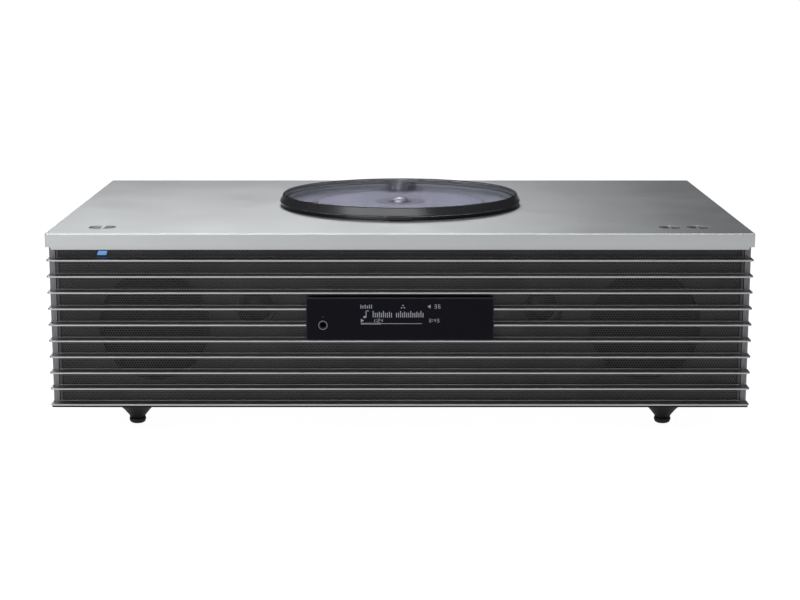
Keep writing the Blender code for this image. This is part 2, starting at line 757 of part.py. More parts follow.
def make_buttons():
    for name, (x, y, radius) in {"power_button": POWER_BUTTON, **VOLUME_BUTTONS}.items():
        profile = [
            (0, 133.7),
            (radius * 0.5, 133.85),
            (radius - 0.5, 134.55),
            (radius, 134.3),
            (radius, 131.0),
            (radius + 1.3, 131.0),
            (radius + 1.3, 129.4),
            (3, 129.4),
            (3, 125.2),
            (0, 125.2),
        ]
        finish(turned(name, profile, (x, y, 0), steps=20), ALUMINIUM)
    finish(box("key_board", (-205, -127, KEY_BOARD_Z[0]), (205, -100, KEY_BOARD_Z[1])), BOARD_GREEN)


# Speakers


def driver_frame(name, origin, facing, scale, steps):
    """A loudspeaker's basket and magnet, with the hollow that its cone moves in."""
    profile = [
        (0, -25),
        (20, -25),
        (36, -7),
        (36, 0),
        (42, 0),
        (42, -3),
        (39, -3),
        (39, -8),
        (24, -28),
        (30, -28),
        (30, -45),
        (0, -45),
    ]
    scaled = [(r * scale, h * scale) for r, h in profile]
    finish(turned(name, scaled, origin, facing, steps), DARK_METAL)


def driver_cone(name, origin, facing, scale, steps):
    """A cone with its dust cap, half-roll surround and voice-coil former."""
    profile = [
        (0, -9),
        (6, -9.6),
        (10, -12),
        (30, -3.4),
        (31.5, -1.7),
        (33.5, -1.6),
        (35.5, -2.8),
        (35.5, -3.8),
        (33, -3.2),
        (30.6, -4.8),
        (10.5, -14.2),
        (8.5, -20.5),
        (0, -20.5),
    ]
    scaled = [(r * scale, h * scale) for r, h in profile]
    finish(turned(name, scaled, origin, facing, steps), CONE_PAPER)


def make_speakers():
    mount_y = BAFFLE_BACK_Y + GAP
    dome = [(0, 2.5), (4, 2), (8, 0.4), (10, -1), (11.5, -0.5), (12.4, 0), (18, 0)]
    dome += [(18, -2.5), (15, -2.5), (15, -18), (0, -18)]
    for side, sign in (("left", -1), ("right", 1)):
        centre = (sign * WOOFER_X, mount_y, WOOFER_Z)
        driver_frame(f"woofer_{side}", centre, "front", 1, 24)
        driver_cone(f"woofer_cone_{side}", centre, "front", 1, 24)
        tweeter = turned(f"tweeter_{side}", dome, (sign * TWEETER_X, mount_y, TWEETER_Z), "front", 20)
        finish(tweeter, DARK_METAL)
        port = [
            (PORT_RADIUS + 5, 1.5),
            (PORT_RADIUS + 5, GAP),
            (PORT_RADIUS, GAP),
            (PORT_RADIUS, -PORT_LENGTH),
            (PORT_BORE, -PORT_LENGTH),
            (PORT_BORE, -3),
            (PORT_BORE + 3, 1.5),
        ]
        tube = turned(f"port_tube_{side}", port, (sign * PORT_X, REAR_FACE_Y, PORT_Z), "rear", 24)
        finish(tube, MOULDED_BLACK)
    sub_centre = (0, SUBWOOFER_Y, BODY_BOTTOM_Z + FLOOR_SHEET + GAP)
    driver_frame("subwoofer", sub_centre, "down", SUBWOOFER_SCALE, 32)
    driver_cone("subwoofer_cone", sub_centre, "down", SUBWOOFER_SCALE, 32)


# Electronics and rear sockets


def make_electronics():
    finish(box("main_board", (-190, -30, 34), (-72, 112, 35.6)), BOARD_GREEN)
    supply = box("power_supply", (84, 12, 28), (206, 106, 52))
    round_edges(supply, 1.5, 1)
    finish(supply, STEEL)
    sink = box("heat_sink", (-122, 16, 35.9), (-76, 96, 62))
    for i in range(5):
        x = -117 + 8.4 * i
        cut(sink, box("sink_slot", (x, 10, 40), (x + 4.6, 100, 66)))
    finish(sink, ALUMINIUM)


def make_rear_sockets():
    face = REAR_FACE_Y
    x, z = AC_INLET
    inlet = box("ac_inlet", (x - 11, 118, z - 6), (x + 11, face + 1, z + 6))
    fuse(inlet, box("inlet_flange", (x - 13.5, face + GAP, z - 8), (x + 13.5, face + 2, z + 8)))
    cut(inlet, box("inlet_hollow", (x - 9, 124, z - 4.3), (x + 9, face + 5, z + 4.3)))
    for offset in (-4.3, 4.3):
        fuse(inlet, rod("inlet_pin", 1.2, (x + offset, 122, z), (x + offset, face - 1, z), 12))
    finish(inlet, MOULDED_BLACK)

    x, z = LAN_JACK
    lan = box("lan_jack", (x - 8, 119, z - 6.8), (x + 8, face + 1, z + 6.8))
    cut(lan, box("lan_hollow", (x - 6, 125, z - 4.2), (x + 6, face + 3, z + 4.2)))
    finish(lan, STEEL)

    x, z = USB_PORT
    usb = box("usb_port", (x - 7, 119, z - 3.5), (x + 7, face + 0.8, z + 3.5))
    cut(usb, box("usb_hollow", (x - 6.2, 124, z - 2.7), (x + 6.2, face + 3, z + 2.7)))
    fuse(usb, box("usb_tongue", (x - 5.4, 122, z + 0.1), (x + 5.4, face - 0.5, z + 1.9)))
    finish(usb, STEEL)

    x, z = ANTENNA_SOCKET
    socket_profile = [(0, -8), (1.2, -8), (1.2, 2.8), (4.8, 2.8), (4.8, -16), (0, -16)]
    finish(turned("antenna_socket", socket_profile, (x, face, z), "rear", 20), STEEL)


clear_scene()
PARTS = new_collection(COLLECTION_NAME)
CUTTERS = new_collection("cutters")
make_top_panel()
make_side_panels()
make_louver_frame()
make_grille_mesh()
make_front_baffle()
make_bottom_panel()
make_rear_panel()
make_display()
make_feet()
make_lid()
make_disc_well()
make_spindle()
make_drive()
make_buttons()
make_speakers()
make_electronics()
make_rear_sockets()
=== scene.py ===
import math

import bmesh
import bpy
import numpy as np
from mathutils import Matrix, Vector


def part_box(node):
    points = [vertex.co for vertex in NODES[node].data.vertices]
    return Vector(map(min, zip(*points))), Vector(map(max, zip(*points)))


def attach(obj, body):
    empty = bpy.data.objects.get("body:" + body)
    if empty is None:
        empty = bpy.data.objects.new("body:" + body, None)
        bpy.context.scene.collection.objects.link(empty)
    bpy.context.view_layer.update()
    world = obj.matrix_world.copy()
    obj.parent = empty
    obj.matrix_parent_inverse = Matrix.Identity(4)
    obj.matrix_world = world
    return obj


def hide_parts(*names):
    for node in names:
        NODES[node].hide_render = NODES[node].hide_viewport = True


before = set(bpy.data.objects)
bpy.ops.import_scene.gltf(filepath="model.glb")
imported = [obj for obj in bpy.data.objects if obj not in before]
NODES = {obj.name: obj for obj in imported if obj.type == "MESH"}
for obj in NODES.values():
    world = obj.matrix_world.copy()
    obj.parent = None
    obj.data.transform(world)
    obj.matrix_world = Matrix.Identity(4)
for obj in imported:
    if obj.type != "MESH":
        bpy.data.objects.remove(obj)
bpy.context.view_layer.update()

# A compact one-box CD stereo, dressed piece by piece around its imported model.
# Shapes are written in millimetres in the model's own frame: the front faces -Y and +Z is up.

MM = 0.001
SHARP_DEGREES = 32.0
# Meshes with more faces than this keep their plain smooth shading.
HEAVY_MESH = 60000

# Cabinet, in millimetres
HALF_WIDTH = 225.0
WALL_INNER_X = 220.4
WALL_OUTER_X = 224.5
CORNER_RADIUS = 2.0
LOUVER_TIP_Y = -139.0
LOUVER_ROOT_Y = -131.0
LOUVER_BACK_Y = -123.0
LOUVER_SLANT = 0.62
LOUVER_HEIGHTS = [116.65 - 10.45 * k for k in range(10)]
TOP_SHEET = 3.0
FOOT_X = 175.5
FOOT_Y = 95
PIVOT_Y = 68
SCREEN_PROUD = 0.03
MARK_DEPTH = 0.12


def place(node):
    """A node's low and high corners at rest, in millimetres."""
    low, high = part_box(node)
    return Vector(low) / MM, Vector(high) / MM


def centre_of(node):
    """The middle of a node's box at rest, in millimetres."""
    low, high = place(node)
    return (low + high) / 2


# Materials


def linear(channel):
    """The linear value of an sRGB channel of 0 to 1."""
    if channel <= 0.04045:
        return channel / 12.92
    return ((channel + 0.055) / 1.055) ** 2.4


def rgb(red, green, blue):
    """An opaque linear colour from sRGB numbers of 0 to 255."""
    return tuple(linear(c / 255) for c in (red, green, blue)) + (1.0,)


def scaled(colour, factor):
    """A colour made lighter or darker, still opaque."""
    return tuple(min(1.0, c * factor) for c in colour[:3]) + (1.0,)


class Finish:
    """A material whose Principled shader is fed by noise laid out in the object's own space."""

    def __init__(self, name, colour, roughness, metallic=0.0, **sockets):
        self.material = bpy.data.materials.new(name)
        self.material.use_nodes = True
        self.tree = self.material.node_tree
        self.shader = self.tree.nodes["Principled BSDF"]
        self.space = self.add("ShaderNodeTexCoord").outputs["Object"]
        self.colour = colour
        self.roughness = roughness
        self.shader.inputs["Base Color"].default_value = colour
        self.shader.inputs["Metallic"].default_value = metallic
        for socket, value in sockets.items():
            self.shader.inputs[socket.replace("_", " ")].default_value = value

    def add(self, kind, inputs=None, **settings):
        node = self.tree.nodes.new(kind)
        for key, value in settings.items():
            setattr(node, key, value)
        for key, value in (inputs or {}).items():
            if isinstance(value, bpy.types.NodeSocket):
                self.tree.links.new(value, node.inputs[key])
            else:
                node.inputs[key].default_value = value
        return node

    def noise(self, size, stretch=(1, 1, 1), detail=3.0):
        """Noise with features about `size` millimetres across, drawn out by `stretch`."""
        scale = [1 / (size * MM * s) for s in stretch]
        laid = self.add("ShaderNodeMapping", {"Vector": self.space, "Scale": scale})
        settings = {"Vector": laid.outputs["Vector"], "Scale": 1.0, "Detail": detail}
        return self.add("ShaderNodeTexNoise", settings).outputs["Fac"]

    def fit(self, value, low, high, start=0.3, end=0.7):
        """The value's range from `start` to `end`, stretched to run from `low` to `high`."""
        settings = {"Value": value, "From Min": start, "From Max": end, "To Min": low, "To Max": high}
        return self.add("ShaderNodeMapRange", settings).outputs["Result"]

    def maths(self, operation, first, second):
        return self.add("ShaderNodeMath", {0: first, 1: second}, operation=operation).outputs[0]

    def average(self, first, second, share=0.5):
        """`share` of the first value and the rest of the second."""
        parts = (self.maths("MULTIPLY", first, share), self.maths("MULTIPLY", second, 1 - share))
        return self.maths("ADD", *parts)

    def shades(self, factor, colour, spread):
        """A colour that drifts darker and lighter by `spread`."""
        return self.blend(factor, scaled(colour, 1 - spread), scaled(colour, 1 + spread))

    def blend(self, factor, first, second):
        return self.add("ShaderNodeMix", {0: factor, 6: first, 7: second}, data_type="RGBA").outputs[2]

    def feed(self, socket, value):
        self.tree.links.new(value, self.shader.inputs[socket])

    def tone(self, factor, spread):
        self.feed("Base Color", self.shades(factor, self.colour, spread))

    def polish(self, factor, spread):
        self.feed("Roughness", self.fit(factor, self.roughness - spread, self.roughness + spread))

    def bump(self, height, depth):
        """Relief `depth` millimetres deep."""
        node = self.add("ShaderNodeBump", {"Height": height, "Strength": 1.0, "Distance": depth * MM})
        self.feed("Normal", node.outputs["Normal"])


def brushed(name, colour, roughness, stretch=(60, 1, 1), depth=0.004):
    """Hairline-brushed metal with faint handling marks."""
    finish = Finish(name, colour, roughness, 1.0)
    hair = finish.noise(0.35, stretch, 4.0)
    cloud = finish.noise(45)
    finish.tone(finish.average(hair, cloud, 0.6), 0.10)
    finish.polish(finish.average(hair, cloud), 0.025)
    finish.bump(hair, depth)
    return finish.material


def turned_metal(name, colour, roughness):
    """Metal faced on a lathe: fine rings round the piece's own upright axis."""
    finish = Finish(name, colour, roughness, 1.0, Anisotropic=0.85, Anisotropic_Rotation=0.25)
    around = finish.add("ShaderNodeTangent", direction_type="RADIAL", axis="Z")
    finish.feed("Tangent", around.outputs["Tangent"])
    fine = finish.noise(0.5, (1, 1, 1), 4.0)
    finish.tone(fine, 0.08)
    finish.polish(finish.noise(6), 0.05)
    finish.bump(fine, 0.003)
    return finish.material


def key_metal(name, centre_x, radius):
    """Turned aluminium with painted reflection: dark lobes painted at the left and right of a light middle
    band, standing in for the bow-tie reflection of its turned rings.
    """
    finish = Finish(name, rgb(172, 173, 173), 0.42, 1.0, Anisotropic=0.3, Anisotropic_Rotation=0.25)
    around = finish.add("ShaderNodeTangent", direction_type="RADIAL", axis="Z")
    finish.feed("Tangent", around.outputs["Tangent"])
    across = finish.add("ShaderNodeSeparateXYZ", {"Vector": finish.space}).outputs[0]
    aside = finish.maths("ABSOLUTE", finish.maths("SUBTRACT", across, centre_x * MM), 0.0)
    # Painted reflection: the colour darkens away from a narrow middle band into the left and right lobes.
    painted_dark_lobes = finish.fit(aside, 0.0, 1.0, 0.02 * radius * MM, 0.16 * radius * MM)
    fine = finish.noise(0.5, (1, 1, 1), 4.0)
    light = finish.blend(fine, scaled(finish.colour, 0.94), finish.colour)
    finish.feed("Base Color", finish.blend(painted_dark_lobes, light, rgb(82, 82, 85)))
    finish.polish(fine, 0.03)
    return finish.material


def moulded(name, colour, roughness, grain=0.5, depth=0.02, metallic=0.0, **sockets):
    """Moulded or painted surface with a fine grain and slight colour drift."""
    finish = Finish(name, colour, roughness, metallic, **sockets)
    fine = finish.noise(grain, (1, 1, 1), 4.0)
    wide = finish.noise(30)
    finish.tone(finish.average(fine, wide), 0.14)
    finish.polish(wide, 0.07)
    finish.bump(fine, depth)
    return finish.material


def radial_distance(finish):
    """Distance from the upright axis through the origin, in millimetres."""
    split = finish.add("ShaderNodeSeparateXYZ", {"Vector": finish.space})
    squares = [finish.maths("MULTIPLY", split.outputs[i], split.outputs[i]) for i in (0, 1)]
    length = finish.maths("POWER", finish.maths("ADD", *squares), 0.5)
    return finish.maths("DIVIDE", length, MM)


def disc_material():
    """Pressed silver disc: a lilac mirror data band between a clear hub ring and a clear rim, with painted
    shade darkening the disc from its hole out to 9 mm where the hub's base shadows it.
    """
    finish = Finish("disc_silver", rgb(188, 184, 206), 0.38, 0.45)
    radius = radial_distance(finish)
    ramp = finish.add("ShaderNodeValToRGB", {"Fac": finish.maths("DIVIDE", radius, 60.0)})
    bands_and_hub_shade = (
        # The first two bands, from the hole out to 9 mm, are painted shade where the hub's base shadows the
        # disc.
        (0.0, (44, 44, 50)),
        (0.15, (52, 52, 58)),
        (0.17, (138, 137, 150)),
        (0.28, (110, 110, 122)),
        (0.30, (150, 149, 164)),
        (0.37, (176, 174, 190)),
        (0.385, (152, 151, 168)),
        (0.70, (168, 167, 184)),
        (0.955, (158, 157, 174)),
        (0.965, (104, 104, 116)),
    )
    ramp.color_ramp.elements[0].position = bands_and_hub_shade[0][0]
    ramp.color_ramp.elements[0].color = rgb(*bands_and_hub_shade[0][1])
    ramp.color_ramp.elements[1].position = bands_and_hub_shade[-1][0]
    ramp.color_ramp.elements[1].color = rgb(*bands_and_hub_shade[-1][1])
    for position, colour in bands_and_hub_shade[1:-1]:
        ramp.color_ramp.elements.new(position).color = rgb(*colour)
    finish.feed("Base Color", ramp.outputs["Color"])
    finish.polish(finish.noise(8), 0.04)
    finish.bump(finish.noise(0.4, (1, 1, 1), 2.0), 0.001)
    return finish.material


def clear_plastic(name, colour, lamp_colour, roughness, bend):
    """Clear acrylic with a refractive index of `bend`, which lets lamplight through with a plain tint."""
    finish = Finish(name, colour, roughness, Transmission_Weight=1.0, IOR=bend)
    finish.polish(finish.noise(12), 0.01)
    finish.tone(finish.noise(40), 0.03)
    rays = finish.add("ShaderNodeLightPath").outputs["Is Shadow Ray"]
    tint = finish.add("ShaderNodeBsdfTransparent", {"Color": lamp_colour})
    mix = finish.add("ShaderNodeMixShader", {0: rays, 1: finish.shader.outputs[0], 2: tint.outputs[0]})
    finish.tree.links.new(mix.outputs[0], finish.tree.nodes["Material Output"].inputs["Surface"])
    return finish.material


def glowing(name, colour, strength):
    """A lit mark or lamp, slightly uneven."""
    finish = Finish(name, colour, 0.4, Emission_Strength=strength)
    fine, spread = finish.noise(0.6), 0.12
    finish.tone(fine, spread)
    finish.feed("Emission Color", finish.shades(fine, colour, spread))
    return finish.material


PLATE = brushed("plate_aluminium", rgb(174, 176, 177), 0.36, depth=0.001)
LOUVER = brushed("louver_grey", rgb(166, 166, 167), 0.36, (80, 1, 1), 0.003)
POST = moulded("post_grey", rgb(108, 108, 111), 0.45, 0.4, 0.01, 0.6)
GRILLE = moulded("grille_black", rgb(62, 62, 63), 0.36, 0.3, 0.01, 0.5)
CABINET = moulded("cabinet_black", rgb(44, 44, 46), 0.52, 0.5, 0.03)
BLACK = moulded("moulded_black", rgb(26, 26, 28), 0.42, 0.45, 0.015)
GLOSS = moulded("gloss_black", rgb(18, 18, 20), 0.1, 0.8, 0.001)
WELL = moulded("well_grey", rgb(150, 152, 160), 0.42, 0.4, 0.01, 0.2)
FOOT = moulded("foot_black", rgb(9, 9, 10), 0.55, 0.45, 0.01, 0.0, Specular_IOR_Level=0.1)
RUBBER = moulded("rubber_black", rgb(12, 12, 12), 0.8, 0.35, 0.03, 0.0, Specular_IOR_Level=0.3)
STEEL = brushed("drive_steel", rgb(164, 164, 160), 0.32, (1, 20, 1), 0.003)
DARK_METAL = brushed("dark_metal", rgb(70, 70, 73), 0.34, (12, 12, 1), 0.003)
CAP_METAL = turned_metal("cap_metal", rgb(96, 96, 102), 0.3)
HUB_METAL = turned_metal("hub_metal", rgb(216, 215, 222), 0.22)
GOLD = brushed("contact_gold", rgb(196, 162, 92), 0.25, (1, 12, 1), 0.001)
NYLON = moulded("white_nylon", rgb(214, 212, 200), 0.45, 0.6, 0.01, 0.0, Subsurface_Weight=0.1)
BOARD = moulded("board_green", rgb(24, 62, 38), 0.4, 1.2, 0.02, 0.0, Coat_Weight=0.4)
CONE = moulded("cone_pulp", rgb(34, 34, 35), 0.78, 0.8, 0.06)
DISC = disc_material()
LENS = clear_plastic("lens_glass", rgb(196, 210, 236), (0.8, 0.85, 0.95, 1), 0.02, 1.5)
ACRYLIC = clear_plastic("smoked_acrylic", rgb(238, 238, 244), (0.97, 0.97, 0.98, 1), 0.012, 1.2)
# The cover rim is painted opaque: dark outside as painted shade for a clear rim's refraction darkness, grey
# inside standing in for the well wall seen through it.
RIM_OUTER = moulded("cover_rim_painted_shade", rgb(34, 34, 36), 0.3, 0.8, 0.001)
RIM_INNER = moulded("cover_rim_grey", rgb(128, 132, 142), 0.5, 0.8, 0.002)
PANE = moulded("pane_black", rgb(10, 10, 16), 0.12, 6.0, 0.001, 0.0, Specular_IOR_Level=0.04)
SCREEN = moulded("screen_black", rgb(12, 12, 16), 0.35, 4.0, 0.001)
MARKS = glowing("display_glow", rgb(112, 113, 120), 0.2)
LAMP = glowing("lamp_blue", rgb(100, 150, 208), 0.46)
PRINT = moulded("printed_grey", rgb(120, 120, 122), 0.5, 0.3, 0.002)


# Shapes


def soften(points, size, count=3, closed=False):
    """Round each corner of an outline with a short curve that starts `size` away from it."""
    rounded, last = [], len(points) - 1
    for i, corner in enumerate(points):
        if not closed and i in (0, last):
            rounded.append(tuple(corner))
            continue
        corner = Vector(corner)
        before, after = (Vector(points[j]) - corner for j in (i - 1, (i + 1) % (last + 1)))
        start = corner + before * min(size / before.length, 0.45)
        end = corner + after * min(size / after.length, 0.45)
        for step in range(count + 1):
            t = step / count
            rounded.append(tuple(start * (1 - t) ** 2 + corner * (2 * t * (1 - t)) + end * t**2))
    return rounded


def to_mesh(work):
    """Finish a bmesh drawn in millimetres as a mesh in metres with its faces turned outwards."""
    bmesh.ops.scale(work, vec=(MM, MM, MM), verts=work.verts)
    bmesh.ops.recalc_face_normals(work, faces=work.faces)
    mesh = bpy.data.meshes.new("shape")
    work.to_mesh(mesh)
    work.free()
    return mesh


# Degrees about X that turn an upright piece to face this way
FACINGS = {"up": 0, "front": 90, "rear": -90, "down": 180}


def rod(radius, low, high):
    """The profile of a plain round bar, for lathe."""
    return [(0, low), (radius, low), (radius, high), (0, high)]


def lathe(profile, centre=(0, 0, 0), facing="up", steps=96):
    """A piece turned from (radius, height) pairs. Heights run towards where it faces."""
    work = bmesh.new()
    angles = [2 * math.pi * i / steps for i in range(steps)]
    rings = []
    for radius, height in profile:
        if radius < 1e-6:
            rings.append([work.verts.new((0, 0, height))] * steps)
        else:
            ring = [(radius * math.cos(a), radius * math.sin(a), height) for a in angles]
            rings.append([work.verts.new(point) for point in ring])
    pairs = list(zip(rings, rings[1:]))
    if profile[0][0] > 1e-6 and profile[-1][0] > 1e-6:
        pairs.append((rings[-1], rings[0]))
    for near, far in pairs:
        for i in range(steps):
            j = (i + 1) % steps
            corners = list(dict.fromkeys((near[i], near[j], far[j], far[i])))
            if len(corners) > 2:
                work.faces.new(corners)
    tilt = Matrix.Rotation(math.radians(FACINGS[facing]), 4, "X")
    bmesh.ops.transform(work, matrix=Matrix.Translation(centre) @ tilt, verts=work.verts)
    return to_mesh(work)


def block(low, high, rounding=0.3, segments=3):
    """A box between two corners with rounded edges."""
    low, high = Vector(low), Vector(high)
    work = bmesh.new()
    bmesh.ops.create_cube(work, size=1)
    size = Matrix.Diagonal((*(high - low), 1))
    bmesh.ops.transform(work, matrix=Matrix.Translation((low + high) / 2) @ size, verts=work.verts)
    if rounding:
        bmesh.ops.bevel(
            work, geom=work.edges[:], offset=rounding, segments=segments, profile=0.5, affect="EDGES"
        )
    return to_mesh(work)


def slab(outline, low, high, facing="up", rounding=0.0):
    """An outline made solid between two levels: in X and Y for "up", in X and Z for "front"."""
    work = bmesh.new()
    levels = [low, high] if not rounding else [low, low + rounding, high - rounding, high]
    centre = sum((Vector(p) for p in outline), Vector((0, 0))) / len(outline)
    reach = max((Vector(p) - centre).length for p in outline)
    rings = []
    for level in levels:
        inset = 1 - rounding / reach if rounding and level in (low, high) else 1
        flat = [centre + (Vector(p) - centre) * inset for p in outline]
        if facing == "up":
            rings.append([work.verts.new((x, y, level)) for x, y in flat])
        else:
            rings.append([work.verts.new((x, level, y)) for x, y in flat])
    count = len(outline)
    for near, far in zip(rings, rings[1:]):
        for i in range(count):
            j = (i + 1) % count
            work.faces.new((near[i], near[j], far[j], far[i]))
    work.faces.new(rings[0])
    work.faces.new(rings[-1])
    return to_mesh(work)


def sweep(rings):
    """A solid skinned over a closed loop of matching rings of points, with its two ends capped."""
    work = bmesh.new()
    rings = [[work.verts.new(point) for point in ring] for ring in rings]
    for near, far in zip(rings, rings[1:] + rings[:1]):
        for i in range(len(near) - 1):
            work.faces.new((near[i], near[i + 1], far[i + 1], far[i]))
    work.faces.new([ring[0] for ring in rings])
    work.faces.new([ring[-1] for ring in rings])
    return to_mesh(work)


def join(meshes):
    """Several meshes as one."""
    work = bmesh.new()
    for mesh in meshes:
        work.from_mesh(mesh)
    joined = bpy.data.meshes.new("joined")
    work.to_mesh(joined)
    work.free()
    return joined


def boolean(mesh, tool, operation="DIFFERENCE"):
    """Cut one mesh with another, or fuse the two."""
    objects = [bpy.data.objects.new("boolean", m) for m in (mesh, tool)]
    for obj in objects:
        bpy.context.scene.collection.objects.link(obj)
    modifier = objects[0].modifiers.new("boolean", "BOOLEAN")
    modifier.operation = operation
    modifier.object = objects[1]
    modifier.use_self = False
    bpy.context.view_layer.update()
    solid = objects[0].evaluated_get(bpy.context.evaluated_depsgraph_get())
    result = bpy.data.meshes.new_from_object(solid)
    for obj in objects:
        bpy.data.objects.remove(obj)
    return result


def cut(mesh, *tools):
    return boolean(mesh, join(tools))


def weigh_normals(mesh):
    """Weight the shading by face area, so flats stay flat beside their rounded edges."""
    obj = bpy.data.objects.new("shading", mesh)
    bpy.context.scene.collection.objects.link(obj)
    obj.modifiers.new("weight", "WEIGHTED_NORMAL").keep_sharp = True
    bpy.context.view_layer.update()
    result = bpy.data.meshes.new_from_object(obj.evaluated_get(bpy.context.evaluated_depsgraph_get()))
    bpy.data.objects.remove(obj)
    return result


def piece(name, mesh, material, body, nodes=(), sharp=SHARP_DEGREES):
    """Put a finished mesh into the scene, riding on a body and standing for the nodes named."""
    marked = [face.material_index for face in mesh.polygons]
    mesh.materials.clear()
    for item in material if isinstance(material, (list, tuple)) else (material,):
        mesh.materials.append(item)
    mesh.polygons.foreach_set("material_index", marked if len(mesh.materials) > 1 else [0] * len(marked))
    mesh.shade_smooth()
    mesh.set_sharp_from_angle(angle=math.radians(sharp))
    if len(mesh.polygons) < HEAVY_MESH:
        mesh = weigh_normals(mesh)
    mesh.name = name
    obj = bpy.data.objects.new(name, mesh)
    bpy.context.scene.collection.objects.link(obj)
    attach(obj, body)
    if nodes:
        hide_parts(*nodes)
    return obj


def hole(radius, x, z, low=100.0, high=150.0, steps=64):
    """A round tool that runs along Y."""
    return lathe(rod(radius, low, high), (x, 0, z), "rear", steps)


# Enclosure


def make_top():
    """The folded top sheet, with the openings for the disc well and the three buttons."""
    low, high = place("top_panel")
    shell = block((low.x, low.y, low.z - 2), high, 1.1, 5)
    hollow = block(
        (low.x + TOP_SHEET, low.y + TOP_SHEET, low.z - 5),
        (high.x - TOP_SHEET, high.y - TOP_SHEET, high.z - TOP_SHEET),
        0.5,
        2,
    )
    trim = block((low.x - 1, low.y - 1, low.z - 5), (high.x + 1, high.y + 1, low.z), 0)
    tools = [trim, hollow, lathe(rod(79.6, 120, 140), steps=160)]
    for name in ("power_button", "volume_down_button", "volume_up_button"):
        near, far = place(name)
        middle = (near + far) / 2
        radius = (far.x - near.x) / 2 - 0.9
        rim = [(0, 120), (radius, 120), (radius, high.z - 0.35), (radius + 0.5, high.z + 0.15)]
        tools.append(lathe(rim + [(radius + 0.5, 140), (0, 140)], (middle.x, middle.y, 0), steps=72))
    piece("folded_top", cut(shell, *tools), PLATE, "cabinet", ["top_panel"])


def louver_ring(depth, height):
    """A louver's U-shaped plan, `depth` millimetres in from its lip, from the left end to the right."""
    slant = depth * LOUVER_SLANT
    half, front = HALF_WIDTH - slant, LOUVER_TIP_Y + depth
    r = max(CORNER_RADIUS - min(slant, depth), 0.25)
    right = [
        (half - r + r * math.cos(a), front + r + r * math.sin(a))
        for a in (math.radians(-90 + 90 * i / 8) for i in range(9))
    ]
    left = [(-x, y) for x, y in reversed(right)]
    return [(x, y, height) for x, y in [(-half, LOUVER_BACK_Y), *left, *right, (half, LOUVER_BACK_Y)]]


def make_louvers():
    """Thin blades with a rounded lip and a root fillet, the dark strip below them, and the corner posts."""
    lip = [(0.0, 0.24), (0.10, 0.44), (0.32, 0.56), (0.7, 0.55), (2.6, 0.5), (4.6, 0.5), (6.4, 0.6)]
    fillet = [(7.3, 0.72), (7.8, 0.95), (8.05, 1.3)]
    section = lip + fillet + [(d, -h) for d, h in reversed(lip + [(8.05, 0.7)])]
    blades = [sweep([louver_ring(d, z + h) for d, h in section]) for z in LOUVER_HEIGHTS]
    strip = ((0.9, 22.2), (8.0, 22.2), (8.0, 20.8), (1.2, 20.8), (0.9, 21.1))
    trim = sweep([louver_ring(d, z) for d, z in strip])
    piece("lower_trim", trim, FOOT, "cabinet", ["louver_frame"])
    display_gap = block((-60, -142, 65.1), (60, -128, 93.1), 0)
    piece("louver_blades", cut(join(blades), display_gap), LOUVER, "cabinet", ["louver_frame"])
    r, back = CORNER_RADIUS, LOUVER_BACK_Y + 0.1
    turn = [math.radians(-90 + 11.25 * i) for i in range(9)]
    arc = [(WALL_OUTER_X - r + r * math.cos(a), LOUVER_ROOT_Y + r + r * math.sin(a)) for a in turn]
    outline = [(WALL_INNER_X, back), (WALL_INNER_X, LOUVER_ROOT_Y), *arc, (WALL_OUTER_X, back)]
    for side, name in ((-1, "post_left"), (1, "post_right")):
        post = slab([(side * x, y) for x, y in outline], 20.8, 125.2)
        piece(f"corner_{name}", post, POST, "cabinet", ["louver_frame"])


